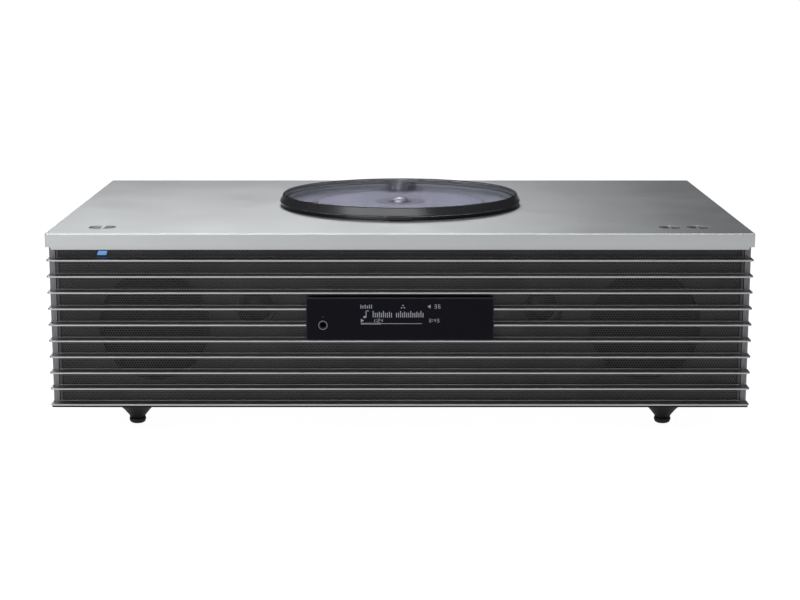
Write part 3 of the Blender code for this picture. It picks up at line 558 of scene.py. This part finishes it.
def make_grille():
    """The perforated sheet, in four panels that meet along the cell edges, and its plain border."""
    low, high = place("grille_mesh")
    pitch = 1.75
    corner_reach = pitch / math.sqrt(3)
    row_step = 1.5 * corner_reach
    hole_reach = 0.8
    turns = np.radians(30 + 60 * np.arange(6))
    spokes = np.stack([np.cos(turns), np.sin(turns)], axis=1)
    rows = np.arange(int((high.z - low.z - 2.4) / row_step))
    half_columns = int((high.x - 1.3) / pitch)
    columns = np.arange(-half_columns, half_columns + 1)
    grid_i, grid_j = np.meshgrid(columns, rows)
    x = (grid_i + 0.5 * (grid_j % 2) - 0.25) * pitch
    z = low.z + 1.8 + grid_j * row_step
    window_half, window_low, window_high = 57.5, 66.6, 91.6
    clear = (np.abs(x) > window_half) | (z < window_low) | (z > window_high)
    bounds = np.array([-np.inf, -half_columns / 2, 0, half_columns / 2, np.inf])
    for part in range(4):
        mask = clear & (grid_i >= bounds[part]) & (grid_i < bounds[part + 1])
        centres = np.stack([x[mask], z[mask]], axis=1)
        cells = centres[:, None, :] + spokes * corner_reach
        holes = (centres[:, None, :] + spokes * hole_reach).reshape(-1, 2)
        corners, index = np.unique(np.round(cells.reshape(-1, 2), 3), axis=0, return_inverse=True)
        index = index.reshape(-1, 6)
        flat = np.concatenate([corners, holes])
        front = np.insert(flat, 1, low.y, axis=1)
        back = np.insert(flat, 1, high.y, axis=1)
        total = len(flat)
        rim = len(corners) + np.arange(len(holes)).reshape(-1, 6)
        following, rim_following = np.roll(index, -1, axis=1), np.roll(rim, -1, axis=1)
        face = np.stack([index, following, rim_following, rim], axis=2).reshape(-1, 4)
        bore = np.stack([rim, rim_following, rim_following + total, rim + total], axis=2).reshape(-1, 4)
        edges = np.stack([index, following], axis=2).reshape(-1, 2)
        keys = np.sort(edges, axis=1)
        _, where, count = np.unique(keys, axis=0, return_inverse=True, return_counts=True)
        outer = edges[count[where.reshape(-1)] == 1]
        wall = np.stack([outer[:, 0], outer[:, 0] + total, outer[:, 1] + total, outer[:, 1]], axis=1)
        faces = np.concatenate([face, face[:, ::-1] + total, bore, wall])
        mesh = bpy.data.meshes.new("grille")
        mesh.from_pydata((np.concatenate([front, back]) * MM).tolist(), [], faces.tolist())
        piece(f"grille_panel_{part + 1}", mesh, GRILLE, "cabinet", ["grille_mesh"], 20)
    rim_low, rim_high = (low.x, low.y - 0.02, low.z), (high.x, high.y + 0.02, high.z)
    window = block((low.x + 1.6, low.y - 3, low.z + 1.6), (high.x - 1.6, high.y + 3, high.z - 1.6), 0)
    piece("grille_border", cut(block(rim_low, rim_high, 0.15, 2), window), GRILLE, "cabinet")


def make_sides():
    """Side panels whose shallow rounded ribs carry on the louver lines."""
    for name, side in (("side_panel_left", -1), ("side_panel_right", 1)):
        low, high = place(name)
        outline = [(WALL_INNER_X, low.z), (WALL_OUTER_X, low.z)]
        for z in reversed(LOUVER_HEIGHTS):
            rib = [(WALL_OUTER_X, 0.85), (WALL_OUTER_X + 0.15, 0.65), (HALF_WIDTH, 0.6)]
            outline += [(x, z - h) for x, h in rib] + [(x, z + h) for x, h in reversed(rib)]
        outline += [(WALL_OUTER_X, high.z), (WALL_INNER_X, high.z)]
        outline = soften(outline, 0.3, 2, closed=True)
        work = bmesh.new()
        rings = []
        for y, inset in ((low.y, 0.35), (low.y + 0.35, 0), (high.y - 0.5, 0), (high.y, 0.5)):
            moved = [(side * (x - inset * (x > WALL_OUTER_X - 2)), y, z) for x, z in outline]
            rings.append([work.verts.new(point) for point in moved])
        count = len(outline)
        for near, far in zip(rings, rings[1:]):
            for i in range(count):
                j = (i + 1) % count
                work.faces.new((near[i], near[j], far[j], far[i]))
        work.faces.new(rings[0])
        work.faces.new(rings[-1])
        piece(f"ribbed_{name}", to_mesh(work), CABINET, "cabinet", [name])


def screw_head(x, y, z, facing):
    """A low domed head with a crossed recess."""
    radius = 2.9
    dome = [(0, 1.0), (radius * 0.5, 0.92), (radius * 0.85, 0.6), (radius, 0.1), (radius, -0.6), (0, -0.6)]
    head = lathe(soften(dome, 0.15, 2), (0, 0, 0), "up", 32)
    arms = [block((-1.5, -0.35, 0.35), (1.5, 0.35, 2), 0), block((-0.35, -1.5, 0.35), (0.35, 1.5, 2), 0)]
    for arm in arms:
        head = cut(head, arm)
    tilt = Matrix.Rotation(math.radians(FACINGS[facing]), 4, "X")
    head.transform(Matrix.Translation(Vector((x, y, z)) * MM) @ tilt)
    return head


def make_rear():
    """The rear plate with its vent slots, socket openings and screws."""
    low, high = place("rear_panel")
    panel = block(low, high, 0.4, 3)
    tools = []
    for name in ("port_tube_left", "port_tube_right"):
        middle = centre_of(name)
        tools.append(hole(22.3, middle.x, middle.z, 100, 150, 96))
    for name, half_x, half_z in (("ac_inlet", 11.3, 6.3), ("lan_jack", 8.3, 7.1), ("usb_port", 7.3, 3.8)):
        x, _, z = centre_of(name)
        tools.append(block((x - half_x, 120, z - half_z), (x + half_x, 150, z + half_z), 0))
    middle = centre_of("antenna_socket")
    tools.append(hole(5.1, middle.x, middle.z))
    for row in range(3):
        for column in range(16):
            x, z = -45 + 6 * column, 100 + 7 * row
            tools.append(block((x - 1.1, high.y - 1.6, z - 2.6), (x + 1.1, high.y + 1, z + 2.6), 0.5, 2))
    piece("rear_plate", cut(panel, *tools), CABINET, "cabinet", ["rear_panel"])
    spots = [(x, z) for x in (-210, -70, 70, 210) for z in (29.5, 124)] + [(-210, 78), (210, 78)]
    heads = [screw_head(x, high.y + 0.5, z, "rear") for x, z in spots]
    piece("rear_screws", join(heads), STEEL, "cabinet")


def make_base():
    """The floor plate: subwoofer opening, vent slots, foot pockets and the posts that carry the boards."""
    low, high = place("bottom_panel")
    floor_top = 24.5
    panel = block(low, (high.x, high.y, floor_top), 0.6, 3)
    tools = [lathe(rod(54, 10, 40), (0, 22, 0), steps=128)]
    for row in range(2):
        for column in range(14):
            x, y = -39 + 6 * column, 100 + 14 * row
            tools.append(block((x - 1.2, y - 4.5, 18), (x + 1.2, y + 4.5, low.z + 1.4), 0.5, 2))
    pockets = [
        lathe(rod(18.6, 10, low.z + 0.5), (x, y, 0), steps=64)
        for x in (-FOOT_X, FOOT_X)
        for y in (-FOOT_Y, FOOT_Y)
    ]
    panel = cut(panel, *tools, *pockets)
    bosses = [
        lathe(soften(rod(3, z, floor_top - 1), 0.3, 2), (x, y, 0), steps=32)
        for x, y, z in [(x, y, 33.7) for x in (-184, -78) for y in (-24, 106)]
        + [(x, y, 27.7) for x in (90, 200) for y in (18, 100)]
    ]
    panel = boolean(panel, join(bosses), "UNION")
    piece("floor_plate", panel, CABINET, "cabinet", ["bottom_panel"])
    spots = [(x, y) for x in (-205, 0, 205) for y in (-118, 126)] + [(-205, 0), (205, 0)]
    heads = [screw_head(x, y, low.z - 0.5, "down") for x, y in spots]
    piece("floor_screws", join(heads), STEEL, "cabinet")


def make_feet():
    """Tapered feet on rubber pads."""
    foot = [
        (0, 20.2), (17.9, 20.2), (17.2, 18), (13.8, 14.2), (10.4, 11), (8.9, 9.6), (5.3, 5.2), (5.2, 3.9),
        (0, 3.9),
    ]
    pad = [(0, 3.6), (5.55, 3.6), (5.5, 2.2), (4.9, 0.8), (3.8, 0.1), (3.2, 0), (3.0, 0.3), (0, 0.3)]
    for end, y in (("front", -FOOT_Y), ("rear", FOOT_Y)):
        for side, x in (("left", -FOOT_X), ("right", FOOT_X)):
            name = f"{end}_{side}"
            shape = lathe(soften(foot, 0.9, 4), (x, y, 0), steps=72)
            piece(f"tapered_foot_{name}", shape, FOOT, "cabinet", [f"foot_{name}"])
            sole = lathe(soften(pad, 0.25, 3), (x, y, 0), steps=56)
            piece(f"sole_{name}", sole, RUBBER, "cabinet", [f"foot_pad_{name}"])


# Display


def bar(x, z, width, height, front):
    """One straight stroke of a mark."""
    return block((x, front, z), (x + width, front + MARK_DEPTH, z + height), 0)


def digit(number, x, z, front, height=2.6, width=1.45, stroke=0.34):
    """A seven-stroke figure."""
    middle = z + (height - stroke) / 2
    upper, lower, half = middle + stroke / 2, z + stroke / 2, (height - stroke) / 2
    right = x + width - stroke
    strokes = {
        "a": (x, z + height - stroke, width, stroke),
        "b": (right, upper, stroke, half),
        "c": (right, lower, stroke, half),
        "d": (x, z, width, stroke),
        "e": (x, lower, stroke, half),
        "f": (x, upper, stroke, half),
        "g": (x, middle, width, stroke),
    }
    shown = ("abcdef", "bc", "abged", "abgcd", "fgbc", "afgcd", "afgedc", "abc", "abcdefg", "abcdfg")
    return [bar(*strokes[s], front) for s in shown[number]]


def display_marks(front):
    """Generic play-screen marks: rows of plain strokes, a note, figures, a triangle and a progress line."""
    parts = []

    def mark(outline):
        parts.append(slab(outline, front, front + MARK_DEPTH, "front"))

    for i, height in enumerate((2.5, 1.9, 2.5, 1.9, 2.5, 2.5)):
        parts.append(bar(-25.2 + 1.35 * i, 85.9, 0.55, height, front))
    for x, z in ((0.6, 86.0), (2.4, 86.0), (1.5, 87.5)):
        parts.append(bar(x, z, 0.8, 0.8, front))
    horn = [(17.8, 86.7), (18.5, 86.7), (19.5, 85.9), (19.5, 88.5), (18.5, 87.7), (17.8, 87.7)]
    mark(horn)
    parts += digit(3, 22.0, 85.9, front) + digit(6, 24.3, 85.9, front)
    mark([(-21.9, 80.0), (-21.4, 80.0), (-21.4, 84.6), (-21.9, 84.6)])
    parts.append(bar(-21.9, 84.1, 2.0, 0.55, front))
    turn = [math.tau * i / 16 for i in range(16)]
    mark([(-22.5 + 0.95 * math.cos(a), 80.4 + 0.7 * math.sin(a)) for a in turn])
    stroke_heights = {"l": 4.2, "t": 3.7, "x": 3.0}
    x = -17.4
    for strokes in ("lxxtxlxxtx", "xxlxtxxlxxtxlx"):
        for kind in strokes:
            parts.append(bar(x, 80.1, 0.55, stroke_heights[kind], front))
            x += 1.3
        x += 1.9
    mark([(-25.0, 76.9), (-22.9, 78.1), (-25.0, 79.3)])
    for start, figures in ((-17.4, (1, 2, 4)), (18.6, (3, 4, 5))):
        x = start
        for i, number in enumerate(figures):
            parts += digit(number, x, 76.9, front, 2.3, 1.35, 0.32)
            x += 2.1
            if i == 0:
                parts += [bar(x - 0.1, 77.3, 0.4, 0.4, front), bar(x - 0.1, 78.4, 0.4, 0.4, front)]
                x += 0.9
    parts.append(bar(-25.0, 75.9, 39.0, 0.35, front))
    parts.append(bar(-25.0, 75.6, 13.0, 0.95, front))
    return parts


def make_display():
    """The display's gloss window with its lit marks, and the headphone jack at its left."""
    low, high = place("display_window")
    window = block(low, high, 0.35, 4)
    jack_low, jack_high = place("headphone_jack")
    centre = (jack_low + jack_high) / 2
    window = cut(window, hole(3.3, centre.x, centre.z, -150, -130, 72))
    for face in window.polygons:
        face.material_index = int(face.normal.y > -0.97)
    piece("window_pane", window, (PANE, GLOSS), "cabinet", ["display_window"])
    parts = display_marks(low.y - SCREEN_PROUD)
    dash = [(-49.9, 80.4), (-48.5, 80.4), (-48.5, 80.75), (-49.9, 80.75)]
    icon = slab(dash, low.y - SCREEN_PROUD, low.y + 0.02, "front")
    piece("display_figures", join(parts), MARKS, "cabinet")
    piece("jack_print", icon, DARK_METAL, "cabinet")
    depth, bore = jack_high.y - jack_low.y, 2.45
    sleeve = [
        (0, -15), (1.75, -15), (1.75, -1.2), (2.35, -0.4), (2.5, 0), (2.9, 0), (3, -0.2), (3, -depth),
        (0, -depth),
    ]
    jack = lathe(soften(sleeve, 0.1, 2), (centre.x, jack_low.y, centre.z), "front", 64)
    for face in jack.polygons:
        across = (face.center.x / MM - centre.x, face.center.z / MM - centre.z)
        face.material_index = int(math.hypot(*across) < bore)
    piece("jack_sleeve", jack, (POST, BLACK), "cabinet", ["headphone_jack"])


def make_lamp():
    """The status lamp's slanted lens."""
    low, high = place("status_lamp")
    outline = [(low.x, low.z), (high.x - 0.8, low.z), (high.x, high.z), (low.x + 1.0, high.z)]
    lamp = slab(soften(outline, 0.25, 3, closed=True), low.y, high.y, "front", 0.12)
    piece("blue_lamp", lamp, LAMP, "cabinet", ["status_lamp"])


# Disc cover, well and disc


def make_lid():
    """The disc cover: a clear round pane with an opaque rim, its pivot cap and its finger tab. The rim is
    painted: dark outside as painted shade for the darkness a clear rim shows by refraction, grey inside
    standing in for the well wall seen through it.
    """
    cover = [
        (0, 143.0), (81.9, 143.0), (82.5, 142.4), (84.7, 137.6), (84.4, 137.3), (82.2, 137.3), (81, 139.8),
        (0, 139.8),
    ]
    shape = lathe(soften(cover, 0.35, 3), steps=192)
    rim_radius, rim_top = 80.9, 142.6
    for face in shape.polygons:
        outward = face.normal.x * face.center.x + face.normal.y * face.center.y > 0
        if math.hypot(face.center.x, face.center.y) > rim_radius * MM and face.center.z / MM < rim_top:
            # Painted rim: outward faces take the painted shade, inward faces the grey.
            face.material_index = 1 if outward else 2
    piece("clear_cover", shape, (ACRYLIC, RIM_OUTER, RIM_INNER), "disc_cover", ["lid_cover"])
    cap = [(0, 139.5), (12.2, 139.5), (12.5, 139.2), (12.5, 138.7), (7.7, 138.6), (7.7, 137.1), (0, 137.1)]
    shape = lathe(soften(cap, 0.15, 3), (0, PIVOT_Y, 0), steps=96)
    stem_top = 138.65
    for face in shape.polygons:
        face.material_index = int(face.center.z / MM < stem_top)
    piece("pivot_cap", shape, (CAP_METAL, HUB_METAL), "disc_cover", ["lid_pivot_cap"])
    low, high = place("lid_finger_tab")
    grooves = [
        block((x, low.y - 1, low.z + 0.4), (x + 0.5, low.y + 0.25, high.z - 0.4), 0)
        for x in np.arange(-6.2, 6.2, 1.1)
    ]
    tab = cut(block(low, high, 0.3, 3), *grooves)
    piece("grip_tab", tab, BLACK, "disc_cover", ["lid_finger_tab"])


def make_well():
    """The ring, wall and floor of the disc well, with the pickup's slot and the posts below."""
    ring = [
        (83, 136.8), (83, 134.8), (79.2, 134.8), (79.2, 134.0), (78.3, 134.0), (78.3, 135.9), (79.2, 136.8),
    ]
    shape = lathe(soften(ring, 0.3, 3, closed=True), steps=192)
    wall_radius = 79.0
    for face in shape.polygons:
        face.material_index = int(math.hypot(face.center.x, face.center.y) < wall_radius * MM)
    piece("well_ring", shape, (GLOSS, WELL), "cabinet", ["disc_well"])
    cup = [
        (79.2, 133.7), (79.2, 129.0), (17, 129.0), (17, 131.2), (61.5, 131.2), (62.5, 131.8), (74.6, 131.8),
        (76.8, 132.6), (77.6, 133.7),
    ]
    shape = lathe(soften(cup, 0.3, 3, closed=True), steps=192)
    pickup_slot = block((-10.5, -66, 120), (10.5, -15, 140), 0)
    shaft_hole = lathe(rod(7.3, 120, 140), (0, PIVOT_Y, 0), steps=64)
    shape = cut(shape, pickup_slot, shaft_hole)
    posts = [
        lathe(rod(3, 123.8, 129.5), (x, y, 0), steps=32)
        for x, y in ((-30, -64), (44, -56), (-30, 18), (44, 18))
    ]
    piece("well_cup", boolean(shape, join(posts), "UNION"), WELL, "cabinet", ["disc_well"])


def make_disc():
    """The disc with its stacking ring, and the domed spindle whose three balls grip it."""
    disc = [
        (60, 133.9), (60, 132.7), (22.5, 132.7), (22.2, 132.55), (17.5, 132.55), (17.2, 132.7), (7.5, 132.7),
        (7.5, 133.9), (16.2, 133.9), (16.5, 133.75), (17.3, 133.75), (17.6, 133.9),
    ]
    shape = lathe(soften(disc, 0.12, 2, closed=True), steps=192)
    piece("silver_disc", shape, DISC, "spindle", ["compact_disc"])
    hub = [
        (0, 136.9), (2.2, 136.8), (4.6, 136.3), (6.4, 135.3), (7.15, 134.2), (7.15, 132.4), (15, 132.4),
        (15, 129.4), (3, 129.4), (3, 127), (1.2, 127), (1.2, 113.5), (0, 113.5),
    ]
    shape = lathe(soften(hub, 0.3, 3), steps=96)
    ball = [(0, 0.75), (0.5, 0.55), (0.75, 0), (0.5, -0.55), (0, -0.75)]
    grips = [
        lathe(ball, (6.6 * math.cos(angle), 6.6 * math.sin(angle), 134.75), steps=24)
        for angle in (math.radians(90 + 120 * i) for i in range(3))
    ]
    shape = boolean(shape, join(grips), "UNION")
    piece("clamp_hub", shape, HUB_METAL, "spindle", ["spindle_hub"])


def make_buttons():
    """Three round keys, slightly dished, each on a wider skirt under the top sheet."""
    for name, body in (
        ("power_button", "power_key"),
        ("volume_down_button", "volume_down_key"),
        ("volume_up_button", "volume_up_key"),
    ):
        low, high = place(name)
        centre = (low + high) / 2
        radius = (high.x - low.x) / 2 - 1.3
        profile = [
            (0, 134.05), (radius * 0.3, 134.06), (radius * 0.6, 134.12), (radius * 0.82, 134.28),
            (radius - 0.35, 134.4), (radius, 134.1), (radius, 131.0), (radius + 1.3, 131.0),
            (radius + 1.3, 129.4), (3, 129.4), (3, 125.2), (0, 125.2),
        ]
        shape = lathe(soften(profile, 0.25, 3), (centre.x, centre.y, 0), steps=96)
        # The key's material paints dark reflection lobes into its colour.
        metal = key_metal(f"{name}_metal", centre.x, radius)
        piece(f"dished_{name}", shape, metal, body, [name])


def make_print():
    """Five small printed dots on the top sheet, in a row behind the right-hand buttons."""
    top = place("top_panel")[1].z
    dot = [(0, top + 0.03), (0.75, top + 0.03), (0.8, top - 0.02), (0, top - 0.02)]
    dots = [lathe(dot, (x, -86, 0), steps=32) for x in (119.1, 138.7, 156.9, 174.8, 192.7)]
    piece("printed_dots", join(dots), PRINT, "cabinet")


# Speakers and sockets


def make_ports():
    """Reflex port tubes with a flared mouth."""
    profile = [
        (27, 1.2), (26.4, 1.5), (23.2, 1.5), (21.6, 1.2), (20.2, 0.2), (19.3, -2), (19, -5), (19, -70),
        (22, -70), (22, 0.3), (27, 0.3),
    ]
    for side in ("left", "right"):
        name = f"port_tube_{side}"
        centre = centre_of(name)
        shape = lathe(soften(profile, 0.3, 3, closed=True), (centre.x, 136.7, centre.z), "rear", 96)
        piece(f"flared_{name}", shape, BLACK, "cabinet", [name])


def make_drivers():
    """Cones with a pressed dust cap and a half-roll surround."""
    profile = [
        (0, -9), (4, -9.2), (7.5, -10.2), (9.6, -11.6), (10.4, -11.8), (20, -7.7), (29.6, -3.5),
        (30.4, -3.0), (31.0, -2.1), (32.0, -1.6), (33.2, -1.5), (34.4, -1.9), (35.2, -2.8), (35.5, -3.6),
        (34.6, -3.6), (33, -3.0), (30.6, -4.6), (10.5, -14.2), (8.5, -20.5), (0, -20.5),
    ]
    for node, body, scale, facing in (
        ("woofer_cone_left", "left_cone", 1.0, "front"),
        ("woofer_cone_right", "right_cone", 1.0, "front"),
        ("subwoofer_cone", "sub_cone", 1.5, "down"),
    ):
        low, high = place(node)
        centre = (low + high) / 2
        tip = 1.6 * scale
        front_tip, low_tip = (centre.x, low.y - tip, centre.z), (centre.x, centre.y, low.z - tip)
        origin = front_tip if facing == "front" else low_tip
        scaled_profile = [(r * scale, h * scale) for r, h in profile]
        piece(f"pulp_{node}", lathe(scaled_profile, origin, facing, 96), CONE, body, [node])


def make_sockets():
    """The mains inlet, network jack, USB port and antenna socket."""
    face = place("rear_panel")[1].y
    low, high = place("ac_inlet")
    x, z = (low.x + high.x) / 2, (low.z + high.z) / 2
    shell = block((x - 11, 118, z - 6), (x + 11, face + 1, z + 6), 0.3)
    flange = block((x - 13.5, face + 0.3, z - 8), (x + 13.5, face + 2, z + 8), 0.5)
    inlet = boolean(shell, flange, "UNION")
    lobes = [lathe(rod(4.3, -20, 20), (x + dx, face + 7.3, z), "rear", 48) for dx in (-4.4, 4.4)]
    bridge = block((x - 4.4, face - 12.7, z - 2.6), (x + 4.4, face + 20, z + 2.6), 0)
    for tool in (*lobes, bridge):
        inlet = cut(inlet, tool)
    piece("inlet_body", inlet, BLACK, "cabinet", ["ac_inlet"])
    pin = [(0, -1.0), (0.7, -1.2), (1.2, -1.9), (1.2, -13.5), (0, -13.5)]
    pins = [lathe(pin, (x + dx, face, z), "rear", 32) for dx in (-4.3, 4.3)]
    piece("inlet_pins", join(pins), STEEL, "cabinet")

    low, high = place("lan_jack")
    x, z = (low.x + high.x) / 2, (low.z + high.z) / 2
    shell = block(low, high, 0.4)
    shell = cut(shell, block((x - 6, 125, z - 4.2), (x + 6, high.y + 3, z + 3.2), 0.2, 2))
    shell = cut(shell, block((x - 3, 126, z + 2.9), (x + 3, high.y + 3, z + 4.2), 0))
    piece("network_shell", shell, STEEL, "cabinet", ["lan_jack"])
    contacts = [
        block((x - 4.2 + 1.13 * i, 125.2, z - 3.9), (x - 3.7 + 1.13 * i, high.y - 2.5, z - 3.4), 0.1, 1)
        for i in range(8)
    ]
    piece("network_contacts", join(contacts), GOLD, "cabinet")

    low, high = place("usb_port")
    x, z = (low.x + high.x) / 2, (low.z + high.z) / 2
    mouth = block((x - 6.2, 124, z - 2.7), (x + 6.2, high.y + 3, z + 2.7), 0.2, 2)
    shell = cut(block(low, high, 0.3), mouth)
    piece("usb_shell", shell, STEEL, "cabinet", ["usb_port"])
    tongue = block((x - 5.4, 122, z + 0.1), (x + 5.4, high.y - 1.3, z + 1.9), 0.2)
    piece("usb_tongue", tongue, BLACK, "cabinet")
    contacts = [
        block((x - 4.1 + 2.4 * i, 125, z - 0.05), (x - 3.1 + 2.4 * i, high.y - 2, z + 0.15), 0)
        for i in range(4)
    ]
    piece("usb_contacts", join(contacts), GOLD, "cabinet")

    low, high = place("antenna_socket")
    x, z = (low.x + high.x) / 2, (low.z + high.z) / 2
    barrel = [(0, -8), (1.2, -8), (1.2, 2.5), (1.5, 2.8), (4.3, 2.8)]
    for i in range(5):
        barrel += [(4.75, 2.4 - 0.5 * i), (4.45, 2.15 - 0.5 * i)]
    barrel += [(4.8, -0.2), (4.8, -16), (0, -16)]
    shape = lathe(barrel, (x, face, z), "rear", 64)
    piece("antenna_barrel", shape, STEEL, "cabinet", ["antenna_socket"])


def dress_nodes():
    """Give every CAD node that stays in view its procedural finish."""
    finishes = {
        HUB_METAL: ["lid_pivot_shaft", "pivot_bush"],
        STEEL: [
            "spindle_motor", "drive_chassis", "sled_motor", "power_supply", "guide_rail_left",
            "guide_rail_right",
        ],
        NYLON: ["sled_gear", "motor_pinion"],
        BLACK: ["pickup_sled", "front_baffle"],
        SCREEN: ["display_housing", "display_screen"],
        BOARD: ["key_board", "main_board"],
        PLATE: ["heat_sink"],
        DARK_METAL: ["woofer_left", "woofer_right", "tweeter_left", "tweeter_right", "subwoofer"],
        LENS: ["pickup_lens"],
    }
    for material, names in finishes.items():
        for name in names:
            for slot in NODES[name].material_slots:
                slot.material = material


# Studio


def area_light(name, location, target, size, power, spread=180):
    """A softbox aimed at a point, in metres and watts, with its beam `spread` degrees wide."""
    light = bpy.data.lights.new(name, "AREA")
    light.shape = "RECTANGLE"
    light.size, light.size_y = size
    light.energy = power
    light.spread = math.radians(spread)
    lamp = bpy.data.objects.new(name, light)
    lamp.location = location
    lamp.rotation_euler = (Vector(target) - Vector(location)).to_track_quat("-Z", "Y").to_euler()
    lamp.visible_camera = False
    bpy.context.scene.collection.objects.link(lamp)


def make_studio():
    """A plain pale floor, a sky that reflects dark near the horizon but is seen white, and softboxes."""
    bpy.context.scene.view_settings.view_transform = "Standard"
    reach = 12000
    floor = block((-reach, -reach, -6), (reach, reach, -0.05), 0)
    floor_obj = bpy.data.objects.new("studio_floor", floor)
    bpy.context.scene.collection.objects.link(floor_obj)
    white = (1, 1, 1, 1)
    paper = Finish("floor_paper", (0.16, 0.16, 0.16, 1), 0.8, Emission_Color=white, Emission_Strength=0.97)
    paper.tone(paper.noise(900), 0.01)
    floor.materials.append(paper.material)

    world = bpy.data.worlds.new("studio_world")
    bpy.context.scene.world = world
    world.use_nodes = True
    nodes, links = world.node_tree.nodes, world.node_tree.links
    coordinates = nodes.new("ShaderNodeTexCoord")
    split = nodes.new("ShaderNodeSeparateXYZ")
    ramp = nodes.new("ShaderNodeValToRGB")
    links.new(coordinates.outputs["Generated"], split.inputs[0])
    links.new(split.outputs["Z"], ramp.inputs["Fac"])
    levels = ((0.0, 0.04), (0.14, 0.05), (0.34, 0.07), (0.66, 0.29), (1.0, 1.0))
    ramp.color_ramp.elements[0].position, ramp.color_ramp.elements[1].position = 0.0, 1.0
    for position, _ in levels[1:-1]:
        ramp.color_ramp.elements.new(position)
    for element, (position, level) in zip(ramp.color_ramp.elements, levels):
        element.position = position
        element.color = (0.97 * level, level, 1.05 * level, 1)
    links.new(ramp.outputs["Color"], nodes["Background"].inputs["Color"])
    nodes["Background"].inputs["Strength"].default_value = 0.9
    backdrop = nodes.new("ShaderNodeBackground")
    seen = nodes.new("ShaderNodeMixShader")
    links.new(nodes.new("ShaderNodeLightPath").outputs["Is Camera Ray"], seen.inputs[0])
    links.new(nodes["Background"].outputs[0], seen.inputs[1])
    links.new(backdrop.outputs[0], seen.inputs[2])
    links.new(seen.outputs[0], nodes["World Output"].inputs["Surface"])
    backdrop.inputs["Color"].default_value = white
    area_light("back_softbox", (-0.58, 0.85, 0.88), (-0.46, -0.25, 0.13), (1.6, 0.5), 0.86, 38)
    area_light("front_softbox", (-0.5, -1.2, 1.5), (-0.1, -0.1, 0.1), (2.4, 0.7), 30)
    area_light("left_softbox", (-1.15, -1.9, 0.5), (-0.1, -0.14, 0.1), (1.5, 0.7), 9)


def make_camera():
    """A long lens low in front of the object, looking slightly down."""
    camera = bpy.data.cameras.new("camera")
    camera.lens = 82.82
    camera.sensor_width = 36.0
    obj = bpy.data.objects.new("camera", camera)
    obj.location = (0, -1.2917, 0.3069)
    obj.rotation_euler = (math.radians(79.41), 0, 0)
    bpy.context.scene.collection.objects.link(obj)
    bpy.context.scene.camera = obj


make_camera()
make_top()
make_louvers()
make_grille()
make_sides()
make_rear()
make_base()
make_feet()
make_display()
make_lamp()
make_lid()
make_well()
make_disc()
make_buttons()
make_print()
make_ports()
make_drivers()
make_sockets()
dress_nodes()
make_studio()
